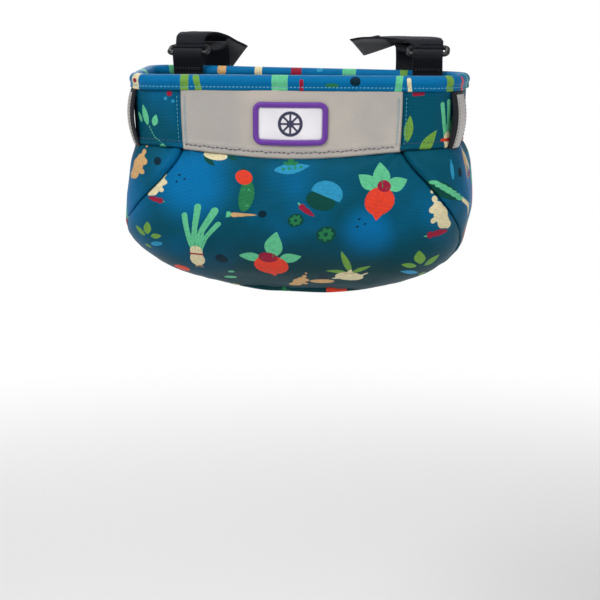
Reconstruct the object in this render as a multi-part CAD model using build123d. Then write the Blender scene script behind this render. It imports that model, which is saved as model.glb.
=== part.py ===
"""A soft handlebar basket: a sewn fabric bucket with a stiff open rim, hung from a handlebar on two
hook-and-loop straps that run through rings at the back of the rim.

Frame: millimetres, +X along the handlebar, +Z up, the basket in front of the handlebar towards -Y.
The origin is the centre of the handlebar's axis, midway between the two straps.
"""

import os
from math import asin, atan2, cos, degrees, hypot, radians, sin

from build123d import *

# Handlebar that the straps close around
BAR_R = 12.7
STRAP_T = 1.6
STRAP_W = 25.0
WRAP_X = 81.0  # middle of the strap's turn around the bar
RING_X = 97.0  # middle of the ring and of the tab that holds it

# Basket: plan of the upright band, and heights
HALF_W = 128.5
DEPTH = 110.0
CORNER_R = 24.0
BACK_Y = -17.5
RIM_TOP = -6.0
BAND_BOTTOM = -66.0
BASE_Z = -173.0
MID_Y = BACK_Y - DEPTH / 2
FRONT_Y = BACK_Y - DEPTH

# Layers of the wall, counted inwards from the outer face
OUTER_T = 1.0
STIFF_T = 2.0
LINING_T = 0.8
LINING_IN = OUTER_T + STIFF_T
WALL_T = LINING_IN + LINING_T

# Rolled rim: a hoop in a fabric tube whose edges are sewn down on both sides of the wall
TUBE_R = 4.0
TUBE_BORE_R = 3.0
HOOP_R = 2.9
FLANGE_T = 0.9
FLANGE_BOTTOM = -19.5
FLANGE_TOP = -12.5
TUBE_Z = RIM_TOP - TUBE_R
WALL_TOP = RIM_TOP - 2 * TUBE_R - 0.05
TOUCH = 0.05  # play between layers that lie on each other

# Reflective strip and sewn patch on the front
STRIP_HALF_W = 84.0
BACK_HALF_W = 94.0
PATCH_W, PATCH_H, PATCH_R = 57.0, 32.5, 6.5
PATCH_Z = -45.0
PATCH_EDGE = 4.0

# Ring: rectangular, round in section, tipped back over the bar
RING_BAR_R = 2.0
RING_W, RING_REACH, RING_CORNER = 31.0, 14.0, 4.0
RING_TILT = 20.0
TAB_T = 1.5
TAB_LOOP_R = 2.95
TAB_PIVOT = (-28.2, 6.5)  # (y, z) of the ring's lower bar, held by the tab
RING_HEAD = (
    TAB_PIVOT[0] + RING_REACH * cos(radians(RING_TILT)),
    TAB_PIVOT[1] + RING_REACH * sin(radians(RING_TILT)),
)
FOLD_R = 3.0  # middle of the strap where it folds round the ring's upper bar

# Light loops: each one wraps from the side on to the front corner
LOOP_REAR = 9.5  # how far it reaches back from where the corner begins
LOOP_W = 24.0
LOOP_T = 1.4
LOOP_ARC_R = 55.0
LOOP_GAP = 4.9
LOOP_HALF_ARC = 24.45
LOOP_MID_Z = -42.8
TAPE_W, TAPE_T = 15.0, 0.4
TAPE_HALF_ARC = 20.6

SIDES = {"left": -1, "right": 1}


def crossed_tangent(c1, r1, c2, r2, turn):
    """Touch points of the line that passes between two circles, leaving the first on its `turn` side."""
    gap = hypot(c2[0] - c1[0], c2[1] - c1[1])
    swing = turn * (radians(90) - asin((r1 + r2) / gap))
    angle = atan2(c2[1] - c1[1], c2[0] - c1[0]) + swing
    first = (c1[0] + r1 * cos(angle), c1[1] + r1 * sin(angle))
    second = (c2[0] - r2 * cos(angle), c2[1] - r2 * sin(angle))
    return first, second, degrees(angle)


def along(a, b, share):
    """The point at that share of the way from a to b."""
    return (a[0] + share * (b[0] - a[0]), a[1] + share * (b[1] - a[1]))


def ribbon(path, thickness, x0, x1):
    """Webbing that follows a path drawn in the YZ plane, extruded from x0 to x1."""
    flat = trace(path, line_width=thickness)
    upright = Plane(origin=(x0, 0, 0), x_dir=(0, 1, 0), z_dir=(1, 0, 0)) * flat
    return extrude(upright, amount=x1 - x0, dir=(1, 0, 0))


def plan_prism(points):
    """A tall prism over an outline given in the XY plane."""
    outline = make_face(Polyline(*points, close=True))
    return extrude(Pos(0, 0, -100) * outline, amount=200)


def band_solid(inset, bottom, top):
    """The upright band's whole plan, drawn in by `inset`, from bottom to top."""
    plan = RectangleRounded(2 * (HALF_W - inset), DEPTH - 2 * inset, CORNER_R - inset)
    return extrude(Pos(0, MID_Y, bottom) * plan, amount=top - bottom)


# The pouch below the band: height, half width, front, back and corner radius of each level
POUCH_LEVELS = (
    (BAND_BOTTOM, HALF_W, FRONT_Y, BACK_Y, CORNER_R),
    (-88.0, 131.5, -136.0, BACK_Y, 34.0),
    (-115.0, 131.0, -138.0, BACK_Y, 42.0),
    (-138.0, 122.0, -132.0, -19.0, 44.0),
    (-152.0, 105.5, -120.0, -24.0, 42.0),
    (-163.0, 82.5, -106.0, -33.0, 33.0),
    (-170.0, 57.0, -95.0, -43.0, 25.0),
    (BASE_Z, 36.0, -87.0, -51.0, 17.0),
)


def pouch_solid(inset):
    """The pouch drawn in by `inset` on every side, and up by as much at its lowest level."""
    levels = []
    for z, half_w, front, back, corner in POUCH_LEVELS:
        rise = inset * (BAND_BOTTOM - z) / (BAND_BOTTOM - BASE_Z)
        plan = RectangleRounded(2 * (half_w - inset), back - front - 2 * inset, corner - inset)
        levels.append(Pos(0, (front + back) / 2, z + rise) * plan)
    return loft(levels)


def wall_prism(outline, y0, y1):
    """A prism along Y over an outline drawn in the XZ plane."""
    face = make_face(outline)
    return extrude(Plane.XZ.offset(-y0) * face, amount=y0 - y1)


def seam_outline(top_w, wide, wide_z, low_w, low_z, floor_z, round_r):
    """Closed outline of a sewn-in panel: flared sides, rounded lower corners and a sagging lower edge."""
    right = [(top_w, BAND_BOTTOM), (wide, wide_z), (low_w, low_z), (0, floor_z)]
    left = [(-x, z) for x, z in reversed(right[:-1])]
    radii = [round_r, round_r, 60, round_r, round_r]
    edge = FilletPolyline(*right, *left, radius=radii)
    return edge + Line(left[-1], right[0])


def body_panels():
    """The outer fabric: pouch panels, upright band panels and the reflective strip."""
    pouch = pouch_solid(0) - pouch_solid(OUTER_T)
    front_edge = seam_outline(84, 126, -118, 112, -148, -169, 14)
    back_edge = seam_outline(88, 104, -118, 90, -142, -158, 16)
    front = pouch & wall_prism(front_edge, -200, MID_Y)
    back_low = pouch & wall_prism(back_edge, MID_Y, 0)
    rest = pouch - front - back_low
    base_half = 74
    base = rest & Pos(0, MID_Y, -160) * Box(2 * base_half, 200, 90)
    ends = rest - Pos(0, MID_Y, -160) * Box(2 * base_half, 200, 400)

    band = band_solid(0, BAND_BOTTOM, WALL_TOP) - band_solid(OUTER_T, BAND_BOTTOM, WALL_TOP)
    back_box = Pos(0, BACK_Y, 0) * Box(2 * BACK_HALF_W, 40, 400)
    strip_box = Pos(0, FRONT_Y, 0) * Box(2 * STRIP_HALF_W, 40, 400)
    half = {"left": Pos(-200, 0, 0) * Box(400, 400, 800), "right": Pos(200, 0, 0) * Box(400, 400, 800)}
    panels = {
        "front_panel": front,
        "bottom_panel": base,
        "back_panel": back_low + (band & back_box),
        "reflective_strip": band & strip_box,
    }
    for side, cut in half.items():
        panels[f"{side}_gusset"] = ends & cut
        panels[f"{side}_band"] = (band - back_box - strip_box) & cut
    return panels


def lining():
    """The inner bag: it hangs from the rim inside the band and the pouch."""
    upper = band_solid(LINING_IN, BAND_BOTTOM, WALL_TOP) - band_solid(WALL_T, BAND_BOTTOM, WALL_TOP)
    lower = pouch_solid(LINING_IN) - pouch_solid(WALL_T)
    return upper + lower


def stiffeners():
    """A board behind the back panel, and a foam strip that keeps the band upright."""
    board_t = 1.4
    board = Box(162, board_t, 76, align=(Align.CENTER, Align.MAX, Align.MAX))
    back_board = Pos(0, BACK_Y - OUTER_T - 0.15, -20) * board
    inner = band_solid(LINING_IN - TOUCH, -64, -20)
    foam = band_solid(OUTER_T + TOUCH, -64, -20) - inner
    behind = Pos(0, BACK_Y, 0) * Box(400, 2 * CORNER_R, 400)
    return {"back_board": back_board, "band_foam": foam - behind}


def rim():
    """The hoop and the fabric rolled over it, with both edges sewn down on the wall."""
    centre_in = WALL_T / 2
    plan = RectangleRounded(2 * (HALF_W - centre_in), DEPTH - 2 * centre_in, CORNER_R - centre_in)
    path = (Pos(0, MID_Y, TUBE_Z) * plan).face().outer_wire()

    def round_bar(radius):
        across = Plane(origin=path @ 0, z_dir=path % 0)
        return sweep(across * Circle(radius), path=path)

    outside = band_solid(-FLANGE_T, FLANGE_BOTTOM, FLANGE_TOP) - band_solid(0, FLANGE_BOTTOM, FLANGE_TOP)
    inside = band_solid(WALL_T, FLANGE_BOTTOM, FLANGE_TOP)
    inside -= band_solid(WALL_T + FLANGE_T, FLANGE_BOTTOM, FLANGE_TOP)
    binding = (round_bar(TUBE_R) + outside + inside) - round_bar(TUBE_BORE_R)
    return {"rim_hoop": round_bar(HOOP_R), "rim_binding": binding}


def patch():
    """The sewn patch: woven face, overlocked border and a plain wheel emblem."""
    on_front = Plane(origin=(0, FRONT_Y, PATCH_Z), x_dir=(1, 0, 0), z_dir=(0, -1, 0))
    outer = RectangleRounded(PATCH_W, PATCH_H, PATCH_R)
    window = RectangleRounded(PATCH_W - 2 * PATCH_EDGE, PATCH_H - 2 * PATCH_EDGE, PATCH_R - PATCH_EDGE)
    face = extrude(on_front * window, amount=1.2)
    border = fillet(extrude(on_front * (outer - window), amount=2.2).edges().group_by(Axis.Y)[0], 0.8)
    rim_r, rim_w, spoke_w = 9.0, 1.4, 0.9
    wheel = Circle(rim_r) - Circle(rim_r - rim_w) + Circle(2.0)
    for k in range(4):
        wheel += Rot(0, 0, 45 * k) * Rectangle(2 * rim_r - rim_w, spoke_w)
    emblem = extrude(on_front.offset(1.2) * wheel, amount=0.5)
    return {"patch_face": face, "patch_border": border, "patch_emblem": emblem}


def light_loop(sign):
    """A webbing loop that stands off the front corner, with reflective tape on its outer face."""
    corner = (HALF_W - CORNER_R, FRONT_Y + CORNER_R)
    axis = Axis((*corner, 0), (0, 0, 1))
    bow_rho = CORNER_R + LOOP_GAP + LOOP_T / 2 - LOOP_ARC_R

    def bowed(radius, half_arc, thickness, rear, front):
        line = CenterArc((bow_rho, LOOP_MID_Z), radius, -half_arc, 2 * half_arc)
        section = trace(line, line_width=thickness)
        turn = degrees(front / CORNER_R)
        a = radians(-turn)
        start = Plane(origin=(*corner, 0), x_dir=(cos(a), sin(a), 0), z_dir=(sin(a), -cos(a), 0))
        side = Plane(origin=(*corner, 0), x_dir=(1, 0, 0), z_dir=(0, -1, 0))
        flat = extrude(side * section, amount=rear, dir=(0, 1, 0))
        return revolve(start * section, axis=axis, revolution_arc=turn) + flat

    webbing = bowed(LOOP_ARC_R, LOOP_HALF_ARC, LOOP_T, LOOP_REAR, LOOP_W - LOOP_REAR)
    margin = (LOOP_W - TAPE_W) / 2
    tape_r = LOOP_ARC_R + (LOOP_T + TAPE_T) / 2
    tape = bowed(tape_r, TAPE_HALF_ARC, TAPE_T, LOOP_REAR - margin, LOOP_W - LOOP_REAR - margin)
    if sign > 0:
        return webbing, tape
    return mirror(webbing, about=Plane.YZ), mirror(tape, about=Plane.YZ)


def ring(x):
    """Rectangular ring with round bars; its lower bar lies in the tab and its upper one in the strap."""
    tilt = radians(RING_TILT)
    middle = (x, (TAB_PIVOT[0] + RING_HEAD[0]) / 2, (TAB_PIVOT[1] + RING_HEAD[1]) / 2)
    plane = Plane(origin=middle, x_dir=(1, 0, 0), z_dir=(0, -sin(tilt), cos(tilt)))
    path = (plane * RectangleRounded(RING_W, RING_REACH, RING_CORNER)).face().outer_wire()
    across = Plane(origin=path @ 0, z_dir=path % 0)
    return sweep(across * Circle(RING_BAR_R), path=path)


def ring_tab(x):
    """Webbing folded round the ring's lower bar, sewn to the lining below the rim."""
    rear_y, pivot_z = TAB_PIVOT[0] + TAB_LOOP_R, TAB_PIVOT[1]
    front_y, x0, x1 = TAB_PIVOT[0] - TAB_LOOP_R, x - STRAP_W / 2, x + STRAP_W / 2
    foot_y, foot_z, meet_z = BACK_Y - WALL_T - TAB_T, -50.0, -9.0
    neck_y = rear_y - TAB_T / 2
    loop = Line((rear_y, meet_z), (rear_y, pivot_z)) + CenterArc(TAB_PIVOT, TAB_LOOP_R, 0, 180)
    loop += FilletPolyline(
        (front_y, pivot_z), (front_y, pivot_z - 2), (rear_y - TAB_T, meet_z), radius=2.5
    )
    doubled = FilletPolyline(
        (foot_y, foot_z), (foot_y, -28), (neck_y, -20.5), (neck_y, meet_z), radius=3
    )
    foot = ribbon(doubled, 2 * TAB_T, x0, x1) & band_solid(WALL_T, foot_z, meet_z)
    return ribbon(loop, TAB_T, x0, x1) + foot


def bar_strap(sign):
    """The strap from its sewn end on the back panel, round the bar and forward to the ring."""
    mid_r = BAR_R + STRAP_T / 2
    turn_down_r = 6.0
    anchor_y = BACK_Y + STRAP_T / 2
    turn_down = (anchor_y + turn_down_r, -24.0)
    anchor_end = -60.0
    top_leave, top_meet, top_angle = crossed_tangent((0, 0), mid_r, RING_HEAD, FOLD_R, -1)
    low_leave, low_meet, low_angle = crossed_tangent((0, 0), mid_r, turn_down, turn_down_r, 1)
    top = Line(along(top_leave, top_meet, 0.72), top_leave) + CenterArc((0, 0), mid_r, 0, top_angle)
    low = CenterArc((0, 0), mid_r, low_angle, -low_angle) + Line(low_leave, low_meet)
    down_arc = low_angle + 180
    low += CenterArc(turn_down, turn_down_r, down_arc, 180 - down_arc)
    low += Line((anchor_y, turn_down[1]), (anchor_y, anchor_end))
    half = STRAP_W / 2
    inner, outer = WRAP_X - half, WRAP_X + half
    ring_inner, ring_outer = RING_X - half, RING_X + half
    plan = [
        (inner, 30), (outer, 30), (outer, -1), (ring_outer, -12),
        (ring_outer, -30), (ring_inner, -30), (ring_inner, -12), (inner, -1),
    ]
    wide = ribbon(top, STRAP_T, 0, 120) & plan_prism(plan)
    solid = wide + ribbon(low, STRAP_T, inner, outer)
    return solid if sign > 0 else mirror(solid, about=Plane.YZ)


def strap_fold(sign):
    """The part of the strap that folds round the ring's upper bar and swings with the ring."""
    top_leave, top_meet, top_angle = crossed_tangent(
        (0, 0), BAR_R + STRAP_T / 2, RING_HEAD, FOLD_R, -1
    )
    fold_end = 100.0
    path = Line(along(top_leave, top_meet, 0.88), top_meet)
    path += CenterArc(RING_HEAD, FOLD_R, fold_end, top_angle + 180 - fold_end)
    solid = ribbon(path, STRAP_T, RING_X - STRAP_W / 2, RING_X + STRAP_W / 2)
    return solid if sign > 0 else mirror(solid, about=Plane.YZ)


# Hook-and-loop tail: it leaves the fold, arches up, and lies down on the strap behind the bar
TAIL_R = 17.0
TAIL_TOP = 21.5
TAIL_ROOT_R, TAIL_ROOT_ANGLE = 4.9, 145.0
TAIL_LAND, TAIL_TIP = 40.0, 12.0
PAD_T = 0.8


def tail_plan():
    """Plan outline of the tail: straight over the ring, then slanting in towards the middle."""
    half = STRAP_W / 2
    root_y, tip_y, tip_x, slant_half = -13.0, 17.2, 63.0, 16.0
    return [
        (RING_X - half, -40), (RING_X + half, -40), (RING_X + half, root_y),
        (tip_x + slant_half, tip_y), (tip_x - slant_half, tip_y), (RING_X - half, root_y),
    ]


def strap_tail(sign):
    """The tail's webbing and the hook pad under it."""
    root = (
        RING_HEAD[0] + TAIL_ROOT_R * cos(radians(TAIL_ROOT_ANGLE)),
        RING_HEAD[1] + TAIL_ROOT_R * sin(radians(TAIL_ROOT_ANGLE)),
    )
    rise = radians(TAIL_ROOT_ANGLE - 90)
    land = (TAIL_R * cos(radians(TAIL_LAND)), TAIL_R * sin(radians(TAIL_LAND)))
    fall = radians(90 - TAIL_LAND)
    crest_front = (root[0] + (TAIL_TOP - root[1]) * cos(rise) / sin(rise), TAIL_TOP)
    crest_back = (land[0] - (TAIL_TOP - land[1]) * cos(fall) / sin(fall), TAIL_TOP)
    path = FilletPolyline(root, crest_front, crest_back, land, radius=[12, 10.5])
    path += CenterArc((0, 0), TAIL_R, TAIL_TIP, TAIL_LAND - TAIL_TIP)
    prism = plan_prism(tail_plan())
    webbing = ribbon(path, STRAP_T, 0, 120) & prism
    pad_r = TAIL_R - (STRAP_T + PAD_T) / 2
    pad_path = CenterArc((0, 0), pad_r, TAIL_TIP + 2, TAIL_LAND - TAIL_TIP - 4)
    pad = ribbon(pad_path, PAD_T, 0, 120) & prism
    if sign > 0:
        return webbing, pad
    return mirror(webbing, about=Plane.YZ), mirror(pad, about=Plane.YZ)


def loop_pad(sign):
    """The soft pad on the strap behind the bar, which the tail's hooks grip."""
    pad_path = CenterArc((0, 0), BAR_R + STRAP_T + PAD_T / 2, -30, 110)
    x0, x1 = sorted((sign * (WRAP_X - STRAP_W / 2 + 1), sign * (WRAP_X + STRAP_W / 2 - 1)))
    return ribbon(pad_path, PAD_T, x0, x1)


def build():
    """Every sub-part by its node's name."""
    nodes = body_panels()
    nodes["lining"] = lining()
    nodes |= stiffeners() | rim() | patch()
    for side, sign in SIDES.items():
        nodes[f"{side}_light_loop"], nodes[f"{side}_loop_tape"] = light_loop(sign)
        nodes[f"{side}_ring"] = ring(sign * RING_X)
        nodes[f"{side}_ring_tab"] = ring_tab(sign * RING_X)
        nodes[f"{side}_bar_strap"] = bar_strap(sign)
        nodes[f"{side}_loop_pad"] = loop_pad(sign)
        nodes[f"{side}_strap_fold"] = strap_fold(sign)
        nodes[f"{side}_strap_tail"], nodes[f"{side}_hook_pad"] = strap_tail(sign)
    return nodes


os.makedirs("parts", exist_ok=True)
for name, solid in build().items():
    export_step(solid, f"parts/{name}.step")
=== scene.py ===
"""A printed fabric basket that hangs in front of a handlebar, dressed over its fixed frame.

Lengths are millimetres until a mesh is written, and metres in every Blender object. The basket's
front faces -Y, +X runs along the handlebar and +Z is up.
"""

from __future__ import annotations

import logging
import math
import random
from dataclasses import dataclass, field
from enum import Enum
from typing import Callable, Iterable

import bmesh
import bpy
import numpy as np
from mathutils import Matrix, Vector

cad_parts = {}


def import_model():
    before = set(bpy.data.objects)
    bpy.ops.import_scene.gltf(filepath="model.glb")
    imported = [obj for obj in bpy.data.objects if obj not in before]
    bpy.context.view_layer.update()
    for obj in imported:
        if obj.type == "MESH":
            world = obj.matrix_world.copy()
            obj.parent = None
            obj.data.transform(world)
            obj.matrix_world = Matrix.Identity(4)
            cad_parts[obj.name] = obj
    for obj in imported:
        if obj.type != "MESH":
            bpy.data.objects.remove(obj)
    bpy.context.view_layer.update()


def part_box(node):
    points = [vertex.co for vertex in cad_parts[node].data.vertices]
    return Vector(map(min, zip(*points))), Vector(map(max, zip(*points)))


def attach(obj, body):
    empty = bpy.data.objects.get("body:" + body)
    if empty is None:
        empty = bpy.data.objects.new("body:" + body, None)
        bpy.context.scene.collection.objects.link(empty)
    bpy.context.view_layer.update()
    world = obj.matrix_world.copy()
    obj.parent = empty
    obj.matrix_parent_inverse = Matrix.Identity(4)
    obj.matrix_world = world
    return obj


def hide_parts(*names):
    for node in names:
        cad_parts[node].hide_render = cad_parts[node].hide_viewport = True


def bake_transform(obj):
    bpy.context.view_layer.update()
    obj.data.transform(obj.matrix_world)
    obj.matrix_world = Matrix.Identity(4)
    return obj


LOG = logging.getLogger("basket")
MM = 0.001
SIDES = {"left": -1.0, "right": 1.0}
MOUTH_FRONT = -127.5  # the band's front face
MOUTH_CORNER = 24.0  # radius of the band's corners
SEAM_Z = -57.8  # where the pouch is sewn to the band
KEEL_SAG = 3.5  # how far the cloth hangs below the plain base
Array = np.ndarray
Surface = Callable[[Array, Array], Array]
Relief = Callable[[Array, Array], Array]


# ---------------------------------------------------------------- numbers and curves


def ease(x: Array | float) -> Array:
    """Smooth step from 0 to 1 as x goes from 0 to 1."""
    t = np.clip(x, 0.0, 1.0)
    return t * t * (3.0 - 2.0 * t)


def hermite(x: Array, knots: Array, values: Array) -> Array:
    """Smooth curve through a table.

    Args:
        x: Where the curve is read.
        knots: Rising places of the table's rows.
        values: The table's values at the knots.

    Returns:
        The values at x.
    """
    slopes = np.gradient(values, knots)
    i = np.clip(np.searchsorted(knots, x, side="right") - 1, 0, len(knots) - 2)
    step = knots[i + 1] - knots[i]
    t = (x - knots[i]) / step
    rise = values[i + 1] - values[i]
    bend = slopes[i] * step * t * (1 - t) ** 2 + slopes[i + 1] * step * t * t * (t - 1)
    return values[i] + rise * t * t * (3 - 2 * t) + bend


def waves(x: Array, y: Array, length: float, seed: int, count: int = 9) -> Array:
    """Smooth uneven waves of about the given length, between roughly -1 and 1."""
    rng = random.Random(seed)
    total = np.zeros_like(x, dtype=float)
    for _ in range(count):
        angle = rng.uniform(0, math.tau)
        pitch = length * rng.uniform(0.7, 1.5)
        phase = rng.uniform(0, math.tau)
        total += np.sin((x * math.cos(angle) + y * math.sin(angle)) * math.tau / pitch + phase)
    return total * 1.3 / count


def raised(surface: Surface, relief: Relief) -> Surface:
    """A surface moved along its own outward normal.

    Args:
        surface: Maps shares (u across to the right, v down) to points in millimetres.
        relief: Millimetres to move outwards at the same shares.

    Returns:
        The moved surface.
    """
    small = 1e-3

    def moved(u: Array, v: Array) -> Array:
        across = surface(u + small, v) - surface(u - small, v)
        down = surface(u, np.minimum(v + small, 1.0)) - surface(u, np.maximum(v - small, 0.0))
        normal = np.cross(down, across)
        normal /= np.maximum(np.linalg.norm(normal, axis=1, keepdims=True), 1e-9)
        return surface(u, v) + normal * relief(u, v)[:, None]

    return moved


# ---------------------------------------------------------------- meshes


def new_object(name: str, mesh: bpy.types.Mesh) -> bpy.types.Object:
    """Link a mesh into the scene as an object at the origin, shaded smooth."""
    thing = bpy.data.objects.new(name, mesh)
    bpy.context.scene.collection.objects.link(thing)
    mesh.shade_smooth()
    return thing


def grid_piece(
    name: str,
    columns: int,
    rows: int,
    surface: Surface,
    cloth: Surface | None = None,
    marks: dict[str, Callable[[Array], Array]] | None = None,
    closed: bool = False,
) -> bpy.types.Object:
    """Lay a grid over a surface.

    Args:
        name: The object's name.
        columns: Cells across.
        rows: Cells down.
        surface: Maps shares (u, v) to points in millimetres.
        cloth: Maps shares to flat cloth coordinates in millimetres, kept as the piece's UV map.
        marks: Attribute names and the functions of cloth coordinates that fill them.
        closed: The grid's edges meet and are merged.

    Returns:
        The new object.
    """
    bm = bmesh.new()
    bmesh.ops.create_grid(bm, x_segments=columns, y_segments=rows, size=0.5)
    mesh = bpy.data.meshes.new(name)
    bm.to_mesh(mesh)
    bm.free()
    count = len(mesh.vertices)
    flat = np.empty(count * 3)
    mesh.vertices.foreach_get("co", flat)
    u, v = flat.reshape(-1, 3)[:, 0] + 0.5, 0.5 - flat.reshape(-1, 3)[:, 1]
    mesh.vertices.foreach_set("co", (surface(u, v) * MM).ravel())
    if cloth is not None:
        spots = cloth(u, v)
        corners = np.empty(len(mesh.loops), dtype=np.int32)
        mesh.loops.foreach_get("vertex_index", corners)
        layer = mesh.uv_layers.new(name="Cloth")
        layer.data.foreach_set("uv", spots[corners].ravel())
        for label, fill in (marks or {}).items():
            mesh.attributes.new(label, "FLOAT", "POINT").data.foreach_set("value", fill(spots))
    if closed:
        merge(mesh)
    mesh.update()
    return new_object(name, mesh)


def merge(mesh: bpy.types.Mesh, reach: float = 2e-5) -> None:
    """Merge a mesh's coincident vertices."""
    bm = bmesh.new()
    bm.from_mesh(mesh)
    bmesh.ops.remove_doubles(bm, verts=bm.verts, dist=reach)
    bm.to_mesh(mesh)
    bm.free()


def thicken(thing: bpy.types.Object, thickness: float) -> None:
    """Give a sheet its thickness, inwards, by a modifier in millimetres."""
    wall = thing.modifiers.new("Thickness", "SOLIDIFY")
    wall.thickness = thickness * MM
    wall.offset = -1.0
    wall.use_even_offset = False


def dress(thing: bpy.types.Object, material: bpy.types.Material) -> None:
    """Give a piece its material."""
    thing.data.materials.clear()
    thing.data.materials.append(material)


def box_mm(node: str) -> tuple[Array, Array]:
    """A node's lowest and highest corners in millimetres."""
    low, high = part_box(node)
    return np.array(low) / MM, np.array(high) / MM


# ---------------------------------------------------------------- webbing and thread


def arc(centre: tuple[float, float], radius: float, start: float, end: float) -> list[tuple[float, float]]:
    """Points on an arc, from one angle in degrees to another."""
    steps = max(3, int(abs(end - start) / 4))
    angles = [math.radians(start + (end - start) * k / steps) for k in range(steps + 1)]
    return [(centre[0] + radius * math.cos(a), centre[1] + radius * math.sin(a)) for a in angles]


def crossed_tangent(c1: tuple, r1: float, c2: tuple, r2: float, turn: int) -> tuple[tuple, tuple, float]:
    """Touch points of the line between two circles that it passes on opposite sides.

    Args:
        c1: Centre of the first circle.
        r1: Its radius.
        c2: Centre of the second circle.
        r2: Its radius.
        turn: 1 or -1, the side on which the line leaves the first circle.

    Returns:
        The two points and the angle of the first in degrees.
    """
    gap = math.hypot(c2[0] - c1[0], c2[1] - c1[1])
    swing = turn * (math.pi / 2 - math.asin((r1 + r2) / gap))
    angle = math.atan2(c2[1] - c1[1], c2[0] - c1[0]) + swing
    c, s = math.cos(angle), math.sin(angle)
    return (c1[0] + r1 * c, c1[1] + r1 * s), (c2[0] - r2 * c, c2[1] - r2 * s), math.degrees(angle)


def eased_line(points: list[tuple[float, ...]], soften: float = 1.2, step: float = 0.4) -> Array:
    """Resample a line evenly and soften its corners.

    Args:
        points: Corners in two or three dimensions.
        soften: Reach of the softening in millimetres.
        step: Distance between the new points.

    Returns:
        The new points, with the ends kept.
    """
    raw = np.array(points, dtype=float)
    run = np.concatenate([[0.0], np.cumsum(np.linalg.norm(np.diff(raw, axis=0), axis=1))])
    count = max(8, int(run[-1] / step))
    even = np.linspace(0, run[-1], count)
    line = np.stack([np.interp(even, run, raw[:, k]) for k in range(raw.shape[1])], axis=1)
    reach = max(1, int(2.5 * soften / step))
    kernel = np.exp(-0.5 * (np.arange(-reach, reach + 1) * step / soften) ** 2)
    before = 2 * line[0] - line[1 : reach + 1][::-1]
    after = 2 * line[-1] - line[-reach - 1 : -1][::-1]
    padded = np.concatenate([before, line, after])
    soft = np.stack([np.convolve(padded[:, k], kernel / kernel.sum(), "valid") for k in range(line.shape[1])], axis=1)
    return soft


@dataclass
class Ribbon:
    """A length of webbing that follows a line in the YZ plane, and may slant across it in X."""

    line: Array
    centre: Callable[[Array], Array]
    width: float
    thickness: float
    cup: float = 0.0
    wander: float = 0.0
    seed: int = 1

    def __post_init__(self) -> None:
        """Measure the line."""
        self.run = np.concatenate([[0.0], np.cumsum(np.linalg.norm(np.diff(self.line, axis=0), axis=1))])
        self.length = float(self.run[-1])

    def point(self, across: Array, along: Array, out: Array) -> Array:
        """Points by millimetres across the webbing, along it and out of its middle."""
        slope = (self.centre(along + 0.5) - self.centre(along - 0.5)) / 1.0
        lean = 1.0 / np.sqrt(1.0 + slope**2)
        s = along - slope * across * lean
        x = self.centre(along) + across * lean
        held = np.clip(s, 0.0, self.length)
        y, z = (np.interp(held, self.run, self.line[:, k]) for k in (0, 1))
        ahead = np.clip(held + 0.6, 0, self.length)
        behind = np.clip(held - 0.6, 0, self.length)
        ty = np.interp(ahead, self.run, self.line[:, 0]) - np.interp(behind, self.run, self.line[:, 0])
        tz = np.interp(ahead, self.run, self.line[:, 1]) - np.interp(behind, self.run, self.line[:, 1])
        size = np.maximum(np.hypot(ty, tz), 1e-9)
        ty, tz = ty / size, tz / size
        past = s - held
        bend = self.cup * (across / (0.5 * self.width)) ** 2
        stray = self.wander * waves(across * 1.5, along, 19.0, self.seed)
        lift = out + bend + stray
        return np.stack([x, y + past * ty - lift * tz, z + past * tz + lift * ty], axis=1)

    def section(self, u: Array) -> tuple[Array, Array]:
        """Across and out for shares around the rounded cross-section."""
        half, r = 0.5 * self.width, 0.5 * self.thickness
        flat = 2 * (half - r)
        around = 2 * flat + 2 * math.pi * r
        t = (u % 1.0) * around
        turn1 = np.clip(t - flat, 0, math.pi * r) / r
        back = np.clip(t - flat - math.pi * r, 0, flat)
        turn2 = np.clip(t - 2 * flat - math.pi * r, 0, math.pi * r) / r
        across = -half + r + np.minimum(t, flat) + r * np.sin(turn1) - back - r * np.sin(turn2)
        out = np.where(t < flat + math.pi * r, r * np.cos(turn1), -r * np.cos(turn2))
        return across, out

    def build(self, name: str, material: bpy.types.Material, slot: str, body: str | None) -> bpy.types.Object:
        """Make the webbing as a closed piece with rounded edges and ends.

        Args:
            name: The piece's name.
            material: Its material.
            slot: Not used.
            body: The body that it rides on, or None when it is left unattached.

        Returns:
            The new object.
        """
        r = 0.5 * self.thickness

        def solid(u: Array, v: Array) -> Array:
            across, out = self.section(u)
            along = v * self.length
            end = np.clip(np.minimum(along, self.length - along) / r, 0, 1)
            return self.point(across, along, out * np.sqrt(np.maximum(1 - (1 - end) ** 2, 0.0)))

        def cloth(u: Array, v: Array) -> Array:
            across, _ = self.section(u)
            return np.stack([across, v * self.length], axis=1)

        piece = grid_piece(name, 56, max(12, int(self.length / 0.8)), solid, cloth, closed=True)
        dress(piece, material)
        if body is not None:
            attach(piece, body)
        return piece


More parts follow.
